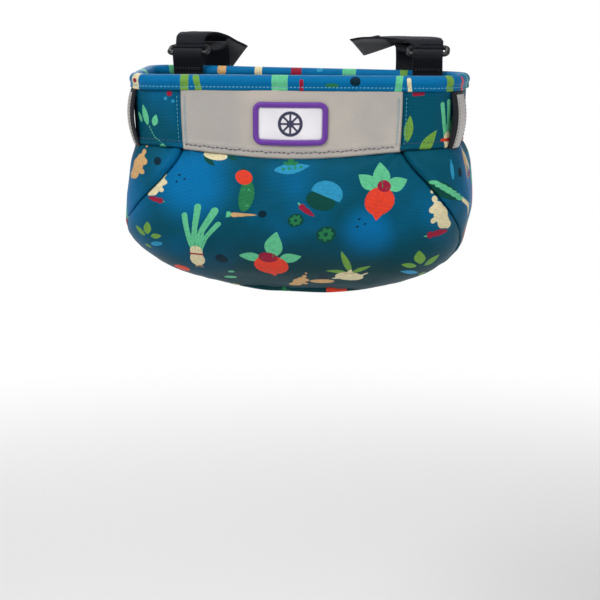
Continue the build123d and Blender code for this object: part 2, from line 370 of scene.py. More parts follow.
def bead_rows(
    name: str,
    rows: list[tuple[Array, Array]],
    length: float,
    pitch: float,
    radius: float,
    material: bpy.types.Material,
    body: str,
    slant: float = 0.0,
) -> bpy.types.Object:
    """Sew rows of raised stitches.

    Args:
        name: The piece's name.
        rows: For each row, its points in millimetres and the outward directions there.
        length: Length of one stitch.
        pitch: Distance between stitches.
        radius: Half thickness of the thread.
        material: The thread's material.
        body: The body that the stitches ride on.
        slant: Degrees by which each stitch turns in the cloth.

    Returns:
        The new object.
    """
    bead = bmesh.new()
    bmesh.ops.create_uvsphere(bead, u_segments=7, v_segments=5, radius=1.0)
    template = bpy.data.meshes.new("Bead")
    bead.to_mesh(template)
    bead.free()
    round_bead = np.empty(len(template.vertices) * 3)
    template.vertices.foreach_get("co", round_bead)
    shapes: list[Array] = []
    for points, outs in rows:
        run = np.concatenate([[0.0], np.cumsum(np.linalg.norm(np.diff(points, axis=0), axis=1))])
        at = (np.arange(int(run[-1] / pitch)) + 0.5) * pitch
        spot, out, ahead = (
            np.stack([np.interp(where, run, data[:, i]) for i in range(3)], axis=1)
            for where, data in ((at, points), (at, outs), (at + 0.3, points))
        )
        out /= np.maximum(np.linalg.norm(out, axis=1, keepdims=True), 1e-9)
        way = ahead - spot
        way -= out * np.sum(way * out, axis=1, keepdims=True)
        way /= np.maximum(np.linalg.norm(way, axis=1, keepdims=True), 1e-9)
        side, c, s = np.cross(out, way), math.cos(math.radians(slant)), math.sin(math.radians(slant))
        way, side = way * c + side * s, side * c - way * s
        axes = np.stack([way * 0.5 * length, side * radius, out * radius], axis=1)
        shapes.append(spot[:, None, :] + np.einsum("vk,nkj->nvj", round_bead.reshape(-1, 3), axes))
    placed = np.concatenate(shapes)
    bm = bmesh.new()
    for _ in range(len(placed)):
        bm.from_mesh(template)
    mesh = bpy.data.meshes.new(name)
    bm.to_mesh(mesh)
    bm.free()
    bpy.data.meshes.remove(template)
    mesh.vertices.foreach_set("co", (placed * MM).ravel())
    mesh.update()
    piece = new_object(name, mesh)
    dress(piece, material)
    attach(piece, body)
    return piece


def row_on(
    surface: Surface, start: tuple[float, float], end: tuple[float, float], count: int = 400
) -> tuple[Array, Array]:
    """A straight row over a surface's shares, with the outward directions under it."""
    t = np.linspace(0, 1, count)
    u, v = start[0] + t * (end[0] - start[0]), start[1] + t * (end[1] - start[1])
    small = 1e-3
    across = surface(u + small, v) - surface(u - small, v)
    down = surface(u, v + small) - surface(u, v - small)
    return surface(u, v), np.cross(down, across)


# ---------------------------------------------------------------- shader graphs


@dataclass
class Graph:
    """Short-hand for building one node tree."""

    tree: bpy.types.NodeTree

    def node(self, kind: str, **settings: object) -> bpy.types.Node:
        """Add a node of a type and set its properties."""
        made = self.tree.nodes.new(kind)
        for key, value in settings.items():
            setattr(made, key, value)
        return made

    def feed(self, socket: bpy.types.NodeSocket, value: object) -> None:
        """Link a socket, or set its value."""
        if isinstance(value, bpy.types.NodeSocket):
            self.tree.links.new(value, socket)
        else:
            socket.default_value = value

    def math(self, how: str, a: object, b: object = 0.0, c: object = 0.0) -> bpy.types.NodeSocket:
        """A Math node's output."""
        made = self.node("ShaderNodeMath", operation=how)
        for socket, value in zip(made.inputs, (a, b, c)):
            self.feed(socket, value)
        return made.outputs[0]

    def span(self, value: object, low: float, high: float, to_low: float = 0.0, to_high: float = 1.0):
        """A smooth Map Range from low..high to to_low..to_high."""
        made = self.node("ShaderNodeMapRange", interpolation_type="SMOOTHSTEP")
        for socket, number in zip(made.inputs, (value, low, high, to_low, to_high)):
            self.feed(socket, number)
        return made.outputs[0]

    def mix(self, share: object, a: object, b: object, how: str = "MIX") -> bpy.types.NodeSocket:
        """A colour Mix node's output."""
        made = self.node("ShaderNodeMix", data_type="RGBA", blend_type=how)
        self.feed(made.inputs[0], share)
        self.feed(made.inputs[6], a)
        self.feed(made.inputs[7], b)
        return made.outputs[2]

    def noise(self, place: object, scale: float, detail: float = 3.0, rough: float = 0.5):
        """A noise texture's value."""
        made = self.node("ShaderNodeTexNoise")
        self.feed(made.inputs["Vector"], place)
        made.inputs["Scale"].default_value = scale
        made.inputs["Detail"].default_value = detail
        made.inputs["Roughness"].default_value = rough
        return made.outputs[0]

    def bump(self, height: object, distance: float, strength: float = 1.0) -> bpy.types.NodeSocket:
        """A Bump node's normal, for a height of 0 to 1 over a distance in metres."""
        made = self.node("ShaderNodeBump")
        made.inputs["Strength"].default_value = strength
        made.inputs["Distance"].default_value = distance
        self.feed(made.inputs["Height"], height)
        return made.outputs[0]

    def group(self, group: bpy.types.NodeTree, **values: object) -> bpy.types.Node:
        """Place a node group, with its inputs given by name (_ for a space)."""
        made = self.node("ShaderNodeGroup", node_tree=group)
        for key, value in values.items():
            self.feed(made.inputs[key.replace("_", " ").capitalize()], value)
        return made


def new_group(name: str, inputs: dict[str, str], outputs: dict[str, str]) -> tuple[Graph, dict, dict]:
    """Start a shader node group.

    Args:
        name: The group's name.
        inputs: Socket names and their types, without the NodeSocket prefix.
        outputs: The same for what it puts out.

    Returns:
        Its graph, its input sockets and its output sockets by name.
    """
    tree = bpy.data.node_groups.new(name, "ShaderNodeTree")
    for label, kind in inputs.items():
        tree.interface.new_socket(label, in_out="INPUT", socket_type=f"NodeSocket{kind}")
    for label, kind in outputs.items():
        tree.interface.new_socket(label, in_out="OUTPUT", socket_type=f"NodeSocket{kind}")
    graph = Graph(tree)
    source, sink = graph.node("NodeGroupInput"), graph.node("NodeGroupOutput")
    return graph, {s.name: s for s in source.outputs if s.name}, {s.name: s for s in sink.inputs if s.name}


def woven_ribs() -> bpy.types.NodeTree:
    """Plain-woven cloth with a rib at every crosswise thread."""
    g, given, out = new_group(
        "Woven ribs",
        {"Cloth": "Vector", "Rib pitch": "Float", "Warp pitch": "Float", "Unevenness": "Float"},
        {"Height": "Float", "Shade": "Float"},
    )
    split = g.node("ShaderNodeSeparateXYZ")
    g.feed(split.inputs[0], given["Cloth"])
    stray = g.math("SUBTRACT", g.noise(given["Cloth"], 0.12, 3.0), 0.5)
    drift = g.math("MULTIPLY", stray, given["Unevenness"])
    along = g.math("ADD", split.outputs[1], drift)
    rib = g.math("SINE", g.math("MULTIPLY", g.math("DIVIDE", along, given["Rib pitch"]), math.tau))
    warp = g.math("SINE", g.math("MULTIPLY", g.math("DIVIDE", split.outputs[0], given["Warp pitch"]), math.tau))
    crossed = g.math("MULTIPLY_ADD", g.math("MULTIPLY", rib, warp), 0.15, 0.5)
    g.feed(out["Height"], g.math("MULTIPLY_ADD", rib, 0.35, crossed))
    slub = g.noise(given["Cloth"], 0.9, 2.0)
    g.feed(out["Shade"], g.math("MULTIPLY_ADD", slub, 0.35, g.math("MULTIPLY", rib, 0.22)))
    return g.tree


def woven_webbing() -> bpy.types.NodeTree:
    """Narrow webbing in a twill that runs both ways from its middle."""
    g, given, out = new_group(
        "Woven webbing",
        {"Cloth": "Vector", "Yarn pitch": "Float"},
        {"Height": "Float", "Shade": "Float"},
    )
    split = g.node("ShaderNodeSeparateXYZ")
    g.feed(split.inputs[0], given["Cloth"])
    yarn = g.math("DIVIDE", split.outputs[0], given["Yarn pitch"])
    pick = g.math("DIVIDE", split.outputs[1], given["Yarn pitch"])
    ends = g.math("ABSOLUTE", g.math("SINE", g.math("MULTIPLY", yarn, math.pi)))
    lean = g.math("ADD", g.math("MULTIPLY", g.math("ABSOLUTE", yarn), 1.0), g.math("MULTIPLY", pick, 1.6))
    twill = g.math("SINE", g.math("MULTIPLY", lean, math.pi))
    g.feed(out["Height"], g.math("MULTIPLY_ADD", twill, 0.3, g.math("MULTIPLY", ends, 0.6)))
    fuzz = g.noise(given["Cloth"], 1.4, 4.0, 0.7)
    g.feed(out["Shade"], g.math("MULTIPLY_ADD", twill, 0.2, fuzz))
    return g.tree


def dusting() -> bpy.types.NodeTree:
    """Faint uneven tone over a whole piece, from handling and dye."""
    g, given, out = new_group("Handled tone", {"Place": "Vector", "Scale": "Float"}, {"Tone": "Float"})
    noise = g.node("ShaderNodeTexNoise")
    g.feed(noise.inputs["Vector"], given["Place"])
    g.feed(noise.inputs["Scale"], given["Scale"])
    noise.inputs["Detail"].default_value = 4.0
    g.feed(out["Tone"], g.span(noise.outputs[0], 0.3, 0.7))
    return g.tree


@dataclass
class Weaves:
    """The node groups that several finishes share."""

    ribs: bpy.types.NodeTree = field(default_factory=woven_ribs)
    webbing: bpy.types.NodeTree = field(default_factory=woven_webbing)
    tone: bpy.types.NodeTree = field(default_factory=dusting)


def start_material(name: str) -> tuple[bpy.types.Material, Graph, bpy.types.Node]:
    """A new material with its graph and its Principled shader."""
    material = bpy.data.materials.new(name)
    material.use_nodes = True
    graph = Graph(material.node_tree)
    return material, graph, graph.tree.nodes["Principled BSDF"]


def cloth_place(g: Graph) -> bpy.types.NodeSocket:
    """The flat cloth coordinates, in millimetres."""
    return g.node("ShaderNodeUVMap", uv_map="Cloth").outputs[0]


def body_place(g: Graph) -> bpy.types.NodeSocket:
    """Object coordinates, in metres."""
    return g.node("ShaderNodeTexCoord").outputs["Object"]


class Ink(Enum):
    """The print's colours, in the order in which they are laid down."""

    NAVY = (0.003, 0.012, 0.022)
    DARK_GREEN = (0.004, 0.060, 0.038)
    LIGHT_BLUE = (0.030, 0.300, 0.520)
    GREEN = (0.025, 0.200, 0.060)
    OLIVE = (0.170, 0.360, 0.045)
    LEAF = (0.130, 0.560, 0.280)
    TAN = (0.680, 0.400, 0.160)
    CREAM = (0.800, 0.700, 0.420)
    RED = (0.800, 0.050, 0.012)
    CRIMSON = (0.330, 0.006, 0.030)
    VEIN = (0.020, 0.260, 0.110)

    @property
    def attribute(self) -> str:
        """The name of the attribute that holds the distance to this ink's edge."""
        return f"ink_{self.name.lower()}"


@dataclass(frozen=True)
class PrintedCloth:
    """Ribbed polyester with a vegetable print over a sea-blue ground, with painted highlights and painted shade in the
    ground's colour.
    """

    # blue is the ground's watercolour blue and also the colour of the painted highlights.
    blue: tuple[float, float, float] = (0.0008, 0.152, 0.385)
    teal: tuple[float, float, float] = (0.0008, 0.069, 0.114)
    # deep is the ground's darker teal towards the bottom, partly painted shade.
    deep: tuple[float, float, float] = (0.0006, 0.031, 0.033)
    edge: float = 0.16
    rib_pitch: float = 1.05
    warp_pitch: float = 0.62
    # Painted highlights: bluer spots where the pouch bulges towards the light, partly the print's watercolour blue; x,
    # y, z and reach in metres.
    painted_highlights: tuple[tuple[float, float, float, float], ...] = (
        (-0.074, -0.132, -0.086, 0.042),
        (-0.122, -0.105, -0.100, 0.045),
        (0.060, -0.136, -0.122, 0.028),
        (0.128, -0.090, -0.088, 0.046),
    )

    def material(self, weaves: Weaves, inks: Iterable[Ink] = tuple(Ink)) -> bpy.types.Material:
        """Build the cloth.

        Args:
            weaves: The shared node groups.
            inks: The inks that the piece's attributes hold.

        Returns:
            The material.
        """
        material, g, shader = start_material("Printed cloth")
        cloth, place = cloth_place(g), body_place(g)
        height = g.node("ShaderNodeSeparateXYZ")
        g.feed(height.inputs[0], place)
        wash = g.noise(place, 13.0, 3.0)
        bright = g.span(wash, 0.44, 0.74, 0.0, 0.65)
        # Painted highlights: the ground turns bluer round each listed spot.
        for x, y, z, reach in self.painted_highlights:
            gap = g.node("ShaderNodeVectorMath", operation="DISTANCE")
            g.feed(gap.inputs[0], place)
            gap.inputs[1].default_value = (x, y, z)
            bright = g.math("MAXIMUM", bright, g.span(gap.outputs["Value"], 0.25 * reach, reach, 0.95, 0.0))
        # Painted highlight: the ground turns bluer on the rim and the band's top edge, where the top catches the
        # light.
        bright = g.math("MAXIMUM", bright, g.span(height.outputs[2], -0.021, -0.012, 0.0, 0.85))
        colour = g.mix(bright, (*self.teal, 1), (*self.blue, 1))
        # Darker towards the bottom of the pouch: partly the ground's deeper teal, partly painted shade under the
        # hanging pouch.
        low = g.math("ADD", height.outputs[2], g.math("MULTIPLY", g.math("SUBTRACT", wash, 0.5), 0.05))
        colour = g.mix(g.span(low, -0.168, -0.105, 0.95, 0.0), colour, (*self.deep, 1))
        grain = g.noise(cloth, 0.35, 4.0, 0.6)
        for ink in inks:
            distance = g.node("ShaderNodeAttribute", attribute_name=ink.attribute).outputs["Fac"]
            feathered = g.math("MULTIPLY_ADD", g.math("SUBTRACT", grain, 0.5), 0.35, distance)
            covered = g.span(feathered, -self.edge, self.edge, 1.0, 0.0)
            tone = g.mix(g.span(grain, 0.35, 0.65, 0.0, 0.16), (*ink.value, 1), (0, 0.03, 0.04, 1))
            colour = g.mix(covered, colour, tone)
        weave = g.group(
            weaves.ribs, cloth=cloth, rib_pitch=self.rib_pitch, warp_pitch=self.warp_pitch, unevenness=0.9
        )
        shade = g.span(weave.outputs["Shade"], -0.1, 0.5, 0.24, 0.0)
        colour = g.mix(shade, colour, (0.0, 0.010, 0.016, 1))
        g.feed(shader.inputs["Base Color"], colour)
        g.feed(shader.inputs["Roughness"], g.span(weave.outputs["Shade"], -0.1, 0.5, 0.52, 0.42))
        g.feed(shader.inputs["Normal"], g.bump(weave.outputs["Height"], 0.00024, 0.75))
        shader.inputs["Sheen Weight"].default_value = 0.05
        shader.inputs["Sheen Roughness"].default_value = 0.35
        shader.inputs["Sheen Tint"].default_value = (0.05, 0.45, 0.90, 1.0)
        shader.inputs["Specular IOR Level"].default_value = 0.16
        shader.inputs["Specular Tint"].default_value = (0.25, 0.65, 1.0, 1.0)
        return material


@dataclass(frozen=True)
class ReflectiveCloth:
    """Grey-beige coated cloth with fine glass beads in it."""

    colour: tuple[float, float, float] = (0.415, 0.375, 0.330)
    shadow: tuple[float, float, float] = (0.330, 0.310, 0.290)

    def material(self, weaves: Weaves, name: str) -> bpy.types.Material:
        """Build the coated cloth under a name."""
        material, g, shader = start_material(name)
        cloth, place = cloth_place(g), body_place(g)
        tone = g.group(weaves.tone, place=place, scale=18.0).outputs[0]
        colour = g.mix(tone, (*self.colour, 1), (*self.shadow, 1))
        beads = g.node("ShaderNodeTexVoronoi")
        g.feed(beads.inputs["Vector"], cloth)
        beads.inputs["Scale"].default_value = 2.6
        speck = g.span(beads.outputs["Distance"], 0.1, 0.6, 0.10, 0.0)
        g.feed(shader.inputs["Base Color"], g.mix(speck, colour, (0.75, 0.72, 0.68, 1)))
        g.feed(shader.inputs["Roughness"], g.span(beads.outputs["Distance"], 0.1, 0.7, 0.36, 0.5))
        weave = g.group(weaves.ribs, cloth=cloth, rib_pitch=0.8, warp_pitch=0.8, unevenness=0.5)
        beading = g.math("MULTIPLY", beads.outputs["Distance"], 0.4)
        relief = g.math("MULTIPLY_ADD", weave.outputs["Height"], 0.6, beading)
        g.feed(shader.inputs["Normal"], g.bump(relief, 0.00008, 0.6))
        shader.inputs["Specular IOR Level"].default_value = 0.35
        return material


@dataclass(frozen=True)
class BlackWebbing:
    """Black polyester webbing in a twill."""

    colour: tuple[float, float, float] = (0.0040, 0.0050, 0.0085)
    worn: tuple[float, float, float] = (0.0120, 0.0140, 0.0200)
    yarn_pitch: float = 1.25

    def material(self, weaves: Weaves) -> bpy.types.Material:
        """Build the webbing."""
        material, g, shader = start_material("Black webbing")
        cloth = cloth_place(g)
        weave = g.group(weaves.webbing, cloth=cloth, yarn_pitch=self.yarn_pitch)
        tone = g.span(weave.outputs["Shade"], 0.3, 0.9)
        g.feed(shader.inputs["Base Color"], g.mix(tone, (*self.colour, 1), (*self.worn, 1)))
        g.feed(shader.inputs["Roughness"], g.span(weave.outputs["Shade"], 0.2, 0.9, 0.72, 0.55))
        g.feed(shader.inputs["Normal"], g.bump(weave.outputs["Height"], 0.0003, 0.9))
        shader.inputs["Sheen Weight"].default_value = 0.06
        shader.inputs["Sheen Roughness"].default_value = 0.45
        shader.inputs["Specular IOR Level"].default_value = 0.16
        return material


@dataclass(frozen=True)
class Pile:
    """Hook-and-loop pads: fuzzy loops or stiff hooks."""

    colour: tuple[float, float, float]
    scale: float
    depth: float

    def material(self, name: str) -> bpy.types.Material:
        """Build the pile under a name."""
        material, g, shader = start_material(name)
        place = body_place(g)
        tuft = g.node("ShaderNodeTexVoronoi")
        g.feed(tuft.inputs["Vector"], place)
        tuft.inputs["Scale"].default_value = self.scale
        curl = g.noise(place, self.scale * 1.7, 4.0, 0.7)
        height = g.math("MULTIPLY_ADD", curl, 0.5, tuft.outputs["Distance"])
        light = tuple(2.6 * c for c in self.colour)
        g.feed(shader.inputs["Base Color"], g.mix(g.span(height, 0.3, 0.9), (*self.colour, 1), (*light, 1)))
        g.feed(shader.inputs["Normal"], g.bump(height, self.depth, 1.0))
        g.feed(shader.inputs["Roughness"], g.span(curl, 0.3, 0.7, 0.8, 0.95))
        shader.inputs["Sheen Weight"].default_value = 0.5
        return material


@dataclass(frozen=True)
class MouldedPlastic:
    """Semi-matt moulded plastic with a fine spark-eroded grain."""

    colour: tuple[float, float, float] = (0.010, 0.010, 0.012)

    def material(self, weaves: Weaves, name: str) -> bpy.types.Material:
        """Build the plastic under a name."""
        material, g, shader = start_material(name)
        place = body_place(g)
        tone = g.group(weaves.tone, place=place, scale=160.0).outputs[0]
        lighter = tuple(1.8 * c for c in self.colour)
        g.feed(shader.inputs["Base Color"], g.mix(tone, (*self.colour, 1), (*lighter, 1)))
        grain = g.noise(place, 2600.0, 3.0, 0.6)
        g.feed(shader.inputs["Roughness"], g.span(tone, 0.0, 1.0, 0.36, 0.5))
        g.feed(shader.inputs["Normal"], g.bump(grain, 0.00003, 0.7))
        return material


@dataclass(frozen=True)
class Thread:
    """Twisted sewing thread."""

    colour: tuple[float, float, float]
    shine: float = 0.45

    def material(self, name: str) -> bpy.types.Material:
        """Build the thread under a name."""
        material, g, shader = start_material(name)
        place = body_place(g)
        fibre = g.noise(place, 3200.0, 3.0, 0.7)
        dark = tuple(0.55 * c for c in self.colour)
        g.feed(shader.inputs["Base Color"], g.mix(g.span(fibre, 0.3, 0.7), (*dark, 1), (*self.colour, 1)))
        g.feed(shader.inputs["Normal"], g.bump(fibre, 0.00005, 0.8))
        g.feed(shader.inputs["Roughness"], g.span(fibre, 0.3, 0.7, self.shine, self.shine + 0.15))
        shader.inputs["Sheen Weight"].default_value = 0.2
        return material


@dataclass(frozen=True)
class PlainCloth:
    """Plain-dyed woven cloth."""

    colour: tuple[float, float, float]
    pitch: float = 0.5
    rough: float = 0.75

    def material(self, weaves: Weaves, name: str) -> bpy.types.Material:
        """Build the cloth under a name."""
        material, g, shader = start_material(name)
        cloth, place = cloth_place(g), body_place(g)
        weave = g.group(weaves.ribs, cloth=cloth, rib_pitch=self.pitch, warp_pitch=self.pitch, unevenness=0.3)
        tone = g.group(weaves.tone, place=place, scale=25.0).outputs[0]
        dark = tuple(0.82 * c for c in self.colour)
        colour = g.mix(tone, (*self.colour, 1), (*dark, 1))
        shade = g.span(weave.outputs["Shade"], -0.1, 0.5, 0.18, 0.0)
        g.feed(shader.inputs["Base Color"], g.mix(shade, colour, (*(0.5 * c for c in self.colour), 1)))
        g.feed(shader.inputs["Roughness"], g.span(tone, 0.0, 1.0, self.rough, self.rough + 0.1))
        g.feed(shader.inputs["Normal"], g.bump(weave.outputs["Height"], 0.00012, 0.7))
        return material


# ---------------------------------------------------------------- the print

Spot = tuple[float, float]
Shape = Callable[[Array], Array]


@dataclass(frozen=True)
class Mark:
    """One shape of one ink; the shape gives the distance to its edge, negative inside."""

    ink: Ink
    shape: Shape


def oval(centre: Spot, across: float, up: float, turn: float = 0.0) -> Shape:
    """An ellipse by its half sizes, turned by degrees."""
    c, s = math.cos(math.radians(turn)), math.sin(math.radians(turn))

    def distance(p: Array) -> Array:
        x, y = p[:, 0] - centre[0], p[:, 1] - centre[1]
        a, b = (x * c + y * s), (y * c - x * s)
        k = np.hypot(a / across, b / up)
        slope = np.hypot(a / across**2, b / up**2)
        return k * (k - 1.0) / np.maximum(slope, 1e-6)

    return distance


def stroke(points: list[Spot], widths: list[float]) -> Shape:
    """A brush stroke through points, with its half width at each."""

    def distance(p: Array) -> Array:
        best = np.full(len(p), 60.0)
        for (x0, y0), (x1, y1), w0, w1 in zip(points, points[1:], widths, widths[1:]):
            dx, dy = x1 - x0, y1 - y0
            t = np.clip(((p[:, 0] - x0) * dx + (p[:, 1] - y0) * dy) / (dx * dx + dy * dy), 0, 1)
            gap = np.hypot(p[:, 0] - x0 - t * dx, p[:, 1] - y0 - t * dy)
            best = np.minimum(best, gap - w0 - t * (w1 - w0))
        return best

    return distance


def leaf(base: Spot, length: float, width: float, turn: float, bend: float = 0.0) -> Shape:
    """A pointed leaf from its base, in the direction of turn degrees, curved by bend."""
    c, s = math.cos(math.radians(turn)), math.sin(math.radians(turn))

    def distance(p: Array) -> Array:
        x, y = p[:, 0] - base[0], p[:, 1] - base[1]
        along, across = x * c + y * s, y * c - x * s
        t = along / length
        across = across - bend * length * np.clip(t, 0, 1) ** 2
        half = 0.5 * width * np.sin(math.pi * np.clip(t, 0, 1) ** 0.85)
        past = np.maximum(np.maximum(-along, along - length), 0.0)
        return np.hypot(past, np.maximum(np.abs(across) - half, 0.0)) + np.minimum(
            np.where(past > 0, 0.0, np.abs(across) - half), 0.0
        )

    return distance


def lump(circles: list[tuple[float, float, float]]) -> Shape:
    """Circles grown together into one knobbly outline."""

    def distance(p: Array) -> Array:
        best = np.full(len(p), 60.0)
        for x, y, r in circles:
            gap = np.hypot(p[:, 0] - x, p[:, 1] - y) - r
            near = np.clip(0.5 + 0.5 * (best - gap) / 1.5, 0, 1)
            best = best * (1 - near) + gap * near - 1.5 * near * (1 - near)
        return best

    return distance


def cut(shape: Shape, through: Spot, turn: float) -> Shape:
    """The part of a shape on the left of a line through a point, in the direction of turn degrees."""
    c, s = math.cos(math.radians(turn)), math.sin(math.radians(turn))
    return lambda p: np.maximum(shape(p), (p[:, 0] - through[0]) * s - (p[:, 1] - through[1]) * c)


def moved(spot: Spot, x: float, y: float) -> Spot:
    """A spot shifted by x and y."""
    return spot[0] + x, spot[1] + y


def veined(base: Spot, length: float, width: float, turn: float, ink: Ink, bend: float = 0.0) -> list[Mark]:
    """A leaf with its middle vein."""
    c, s = math.cos(math.radians(turn)), math.sin(math.radians(turn))
    tip = moved(base, 0.72 * length * c - bend * 0.5 * length * s, 0.72 * length * s + bend * 0.5 * length * c)
    return [
        Mark(ink, leaf(base, length, width, turn, bend)),
        Mark(Ink.VEIN, stroke([base, tip], [0.35, 0.1])),
    ]


class Vegetable(Enum):
    """The print's plants."""

    LEEK = "leek"
    RADISH = "radish"
    BEET = "beet"
    CUCUMBER = "cucumber"
    TURNIP = "turnip"
    GINGER = "ginger"
    SPRIG = "sprig"
    SLICE = "slice"
    POD = "pod"
    CABBAGE = "cabbage"


def leek(at: Spot, size: float = 1.0) -> list[Mark]:
    """A leek that stands on its bulb, with four long leaves."""
    k = size
    fan = [
        ([(-1.0, 9.0), (-4.5, 25.0), (-8.2, 38.5)], [1.6, 1.9, 2.2]),
        ([(0.6, 9.0), (0.9, 26.0), (1.2, 46.0)], [1.9, 2.0, 2.6]),
        ([(2.6, 9.0), (6.6, 27.0), (14.5, 44.0)], [2.0, 2.3, 2.9]),
        ([(3.9, 9.0), (10.0, 22.0), (18.5, 33.5)], [1.3, 1.6, 2.1]),
    ]
    marks = [
        Mark(Ink.LEAF, stroke([moved(at, k * x, k * y) for x, y in path], [k * w for w in widths]))
        for path, widths in fan
    ]
    marks += [
        Mark(Ink.VEIN, stroke([moved(at, k * x, k * y) for x, y in path], [0.2, 0.35, 0.1])) for path, _ in fan
    ]
    marks.append(Mark(Ink.CREAM, oval(moved(at, 0.6 * k, 0.6 * k), 5.6 * k, 7.4 * k)))
    marks.append(Mark(Ink.CREAM, stroke([moved(at, 0.8 * k, 5 * k), moved(at, 1.1 * k, 9 * k)], [4.4 * k, 4.8 * k])))
    marks.append(Mark(Ink.CRIMSON, stroke([moved(at, -4 * k, 6.4 * k), moved(at, 5.6 * k, 5.8 * k)], [0.8, 0.8])))
    for x in (-2.6, -0.6, 1.6, 3.6):
        marks.append(Mark(Ink.TAN, stroke([moved(at, x * k * 0.6, -6 * k), moved(at, x * k, -9.6 * k)], [0.5, 0.3])))
    return marks


def radish(at: Spot, size: float = 1.0) -> list[Mark]:
    """A bright pointed root under three round leaves."""
    k = size
    marks: list[Mark] = []
    blades = ((-2.0, 9.0, 17.5, 11.0, 137), (2.2, 10.0, 19.0, 12.5, 90), (5.0, 9.0, 17.0, 10.5, 20))
    for x, y, length, width, turn in blades:
        marks += veined(moved(at, k * x, k * y), k * length, k * width, turn, Ink.LEAF)
    marks += [
        Mark(Ink.RED, oval(at, 10.9 * k, 10.6 * k)),
        Mark(Ink.RED, stroke([moved(at, 0, -3 * k), moved(at, -0.8 * k, -14.2 * k)], [9.2 * k, 0.5 * k])),
        Mark(Ink.CRIMSON, oval(moved(at, 3.4 * k, 11 * k), 5.0 * k, 4.4 * k, -12)),
        Mark(Ink.CRIMSON, stroke([moved(at, -10 * k, -3.5 * k), moved(at, -7.2 * k, -3.8 * k)], [0.35, 0.3])),
        Mark(Ink.CRIMSON, stroke([moved(at, 4.5 * k, -8 * k), moved(at, 7.4 * k, -7.6 * k)], [0.3, 0.35])),
    ]
    return marks


def beet(at: Spot, size: float = 1.0) -> list[Mark]:
    """A round dark-crowned root under three broad leaves."""
    k = size
    marks: list[Mark] = []
    blades = ((-5.0, 7.0, 17.5, 8.6, 172), (2.0, 8.0, 24.0, 12.8, 80), (6.0, 6.5, 17.5, 9.0, 14))
    for x, y, length, width, turn in blades:
        marks += veined(moved(at, k * x, k * y), k * length, k * width, turn, Ink.LEAF)
    marks += [
        Mark(Ink.RED, oval(at, 12.2 * k, 10.2 * k)),
        Mark(Ink.RED, stroke([moved(at, 0, -7 * k), moved(at, 1.2 * k, -13 * k)], [4.5 * k, 0.5])),
        Mark(Ink.CRIMSON, oval(moved(at, -1.4 * k, 8.2 * k), 6.8 * k, 4.9 * k)),
        Mark(Ink.CRIMSON, stroke([moved(at, -9 * k, -3 * k), moved(at, -4 * k, -4.4 * k)], [0.3, 0.3])),
    ]
    return marks


def cucumber(at: Spot, size: float = 1.0) -> list[Mark]:
    """A cucumber under a cherry tomato, with a thin carrot and an olive at its foot."""
    k = size
    marks = [
        Mark(Ink.GREEN, oval(moved(at, 0.4 * k, 0), 5.8 * k, 13.2 * k, -4)),
        Mark(Ink.RED, oval(moved(at, -2.0 * k, 14.4 * k), 6.6 * k, 5.8 * k)),
        Mark(Ink.TAN, stroke([moved(at, -7.6 * k, -16.4 * k), moved(at, 11 * k, -15.0 * k)], [1.9 * k, 0.4 * k])),
        Mark(Ink.NAVY, oval(moved(at, 14.2 * k, -14.2 * k), 3.3 * k, 3.0 * k)),
    ]
    for turn in (150, 178, 205):
        marks.append(Mark(Ink.LEAF, leaf(moved(at, -8.4 * k, -16.4 * k), 6 * k, 1.9 * k, turn)))
    for turn in (40, 90, 140, 200, -20):
        marks.append(Mark(Ink.DARK_GREEN, leaf(moved(at, -2 * k, 19 * k), 3.6 * k, 1.4 * k, turn)))
    rng = random.Random(5)
    for _ in range(16):
        spot = moved(at, rng.uniform(-3.6, 3.4) * k, rng.uniform(-10, 6) * k)
        marks.append(Mark(Ink.LEAF, oval(spot, 0.45, 0.6)))
    return marks


def chilli(at: Spot, length: float, turn: float, bend: float = 0.16) -> list[Mark]:
    """A thin red pepper with its stem."""
    c, s = math.cos(math.radians(turn)), math.sin(math.radians(turn))
    root = moved(at, -3.2 * c, -3.2 * s)
    return [
        Mark(Ink.CRIMSON, leaf(moved(at, -0.8 * c, -0.8 * s), length, 0.26 * length, turn, bend)),
        Mark(Ink.CRIMSON, oval(moved(at, 1.6 * c, 1.6 * s), 2.6, 0.12 * length + 0.5, turn)),
        Mark(Ink.LEAF, stroke([root, at], [0.5, 0.8])),
    ]


def turnip(at: Spot, size: float = 1.0) -> list[Mark]:
    """A pale flat root with three thin shoots."""
    k = size
    return [
        Mark(Ink.OLIVE, leaf(moved(at, 1.5 * k, 5 * k), 27 * k, 5.6 * k, 97, 0.06)),
        Mark(Ink.OLIVE, leaf(moved(at, 2 * k, 5 * k), 19 * k, 4.2 * k, 38, -0.10)),
        Mark(Ink.OLIVE, leaf(moved(at, 0, 5 * k), 17.5 * k, 4.4 * k, 160, 0.18)),
        Mark(Ink.VEIN, stroke([moved(at, 1.5 * k, 6 * k), moved(at, 0.2 * k, 24 * k)], [0.3, 0.1])),
        Mark(Ink.CREAM, oval(at, 10.8 * k, 6.4 * k, -3)),
        Mark(Ink.CREAM, stroke([moved(at, -7 * k, -2 * k), moved(at, -14 * k, -3.6 * k)], [2.2 * k, 0.3])),
        Mark(Ink.CREAM, stroke([moved(at, 1 * k, 4 * k), moved(at, 1.8 * k, 9 * k)], [3.0 * k, 1.0 * k])),
        Mark(Ink.CREAM, stroke([moved(at, 10 * k, 2.6 * k), moved(at, 14.6 * k, 6 * k)], [0.8, 0.6])),
        Mark(Ink.CRIMSON, stroke([moved(at, -4 * k, 4.6 * k), moved(at, 4.8 * k, 4.8 * k)], [0.45, 0.45])),
    ]


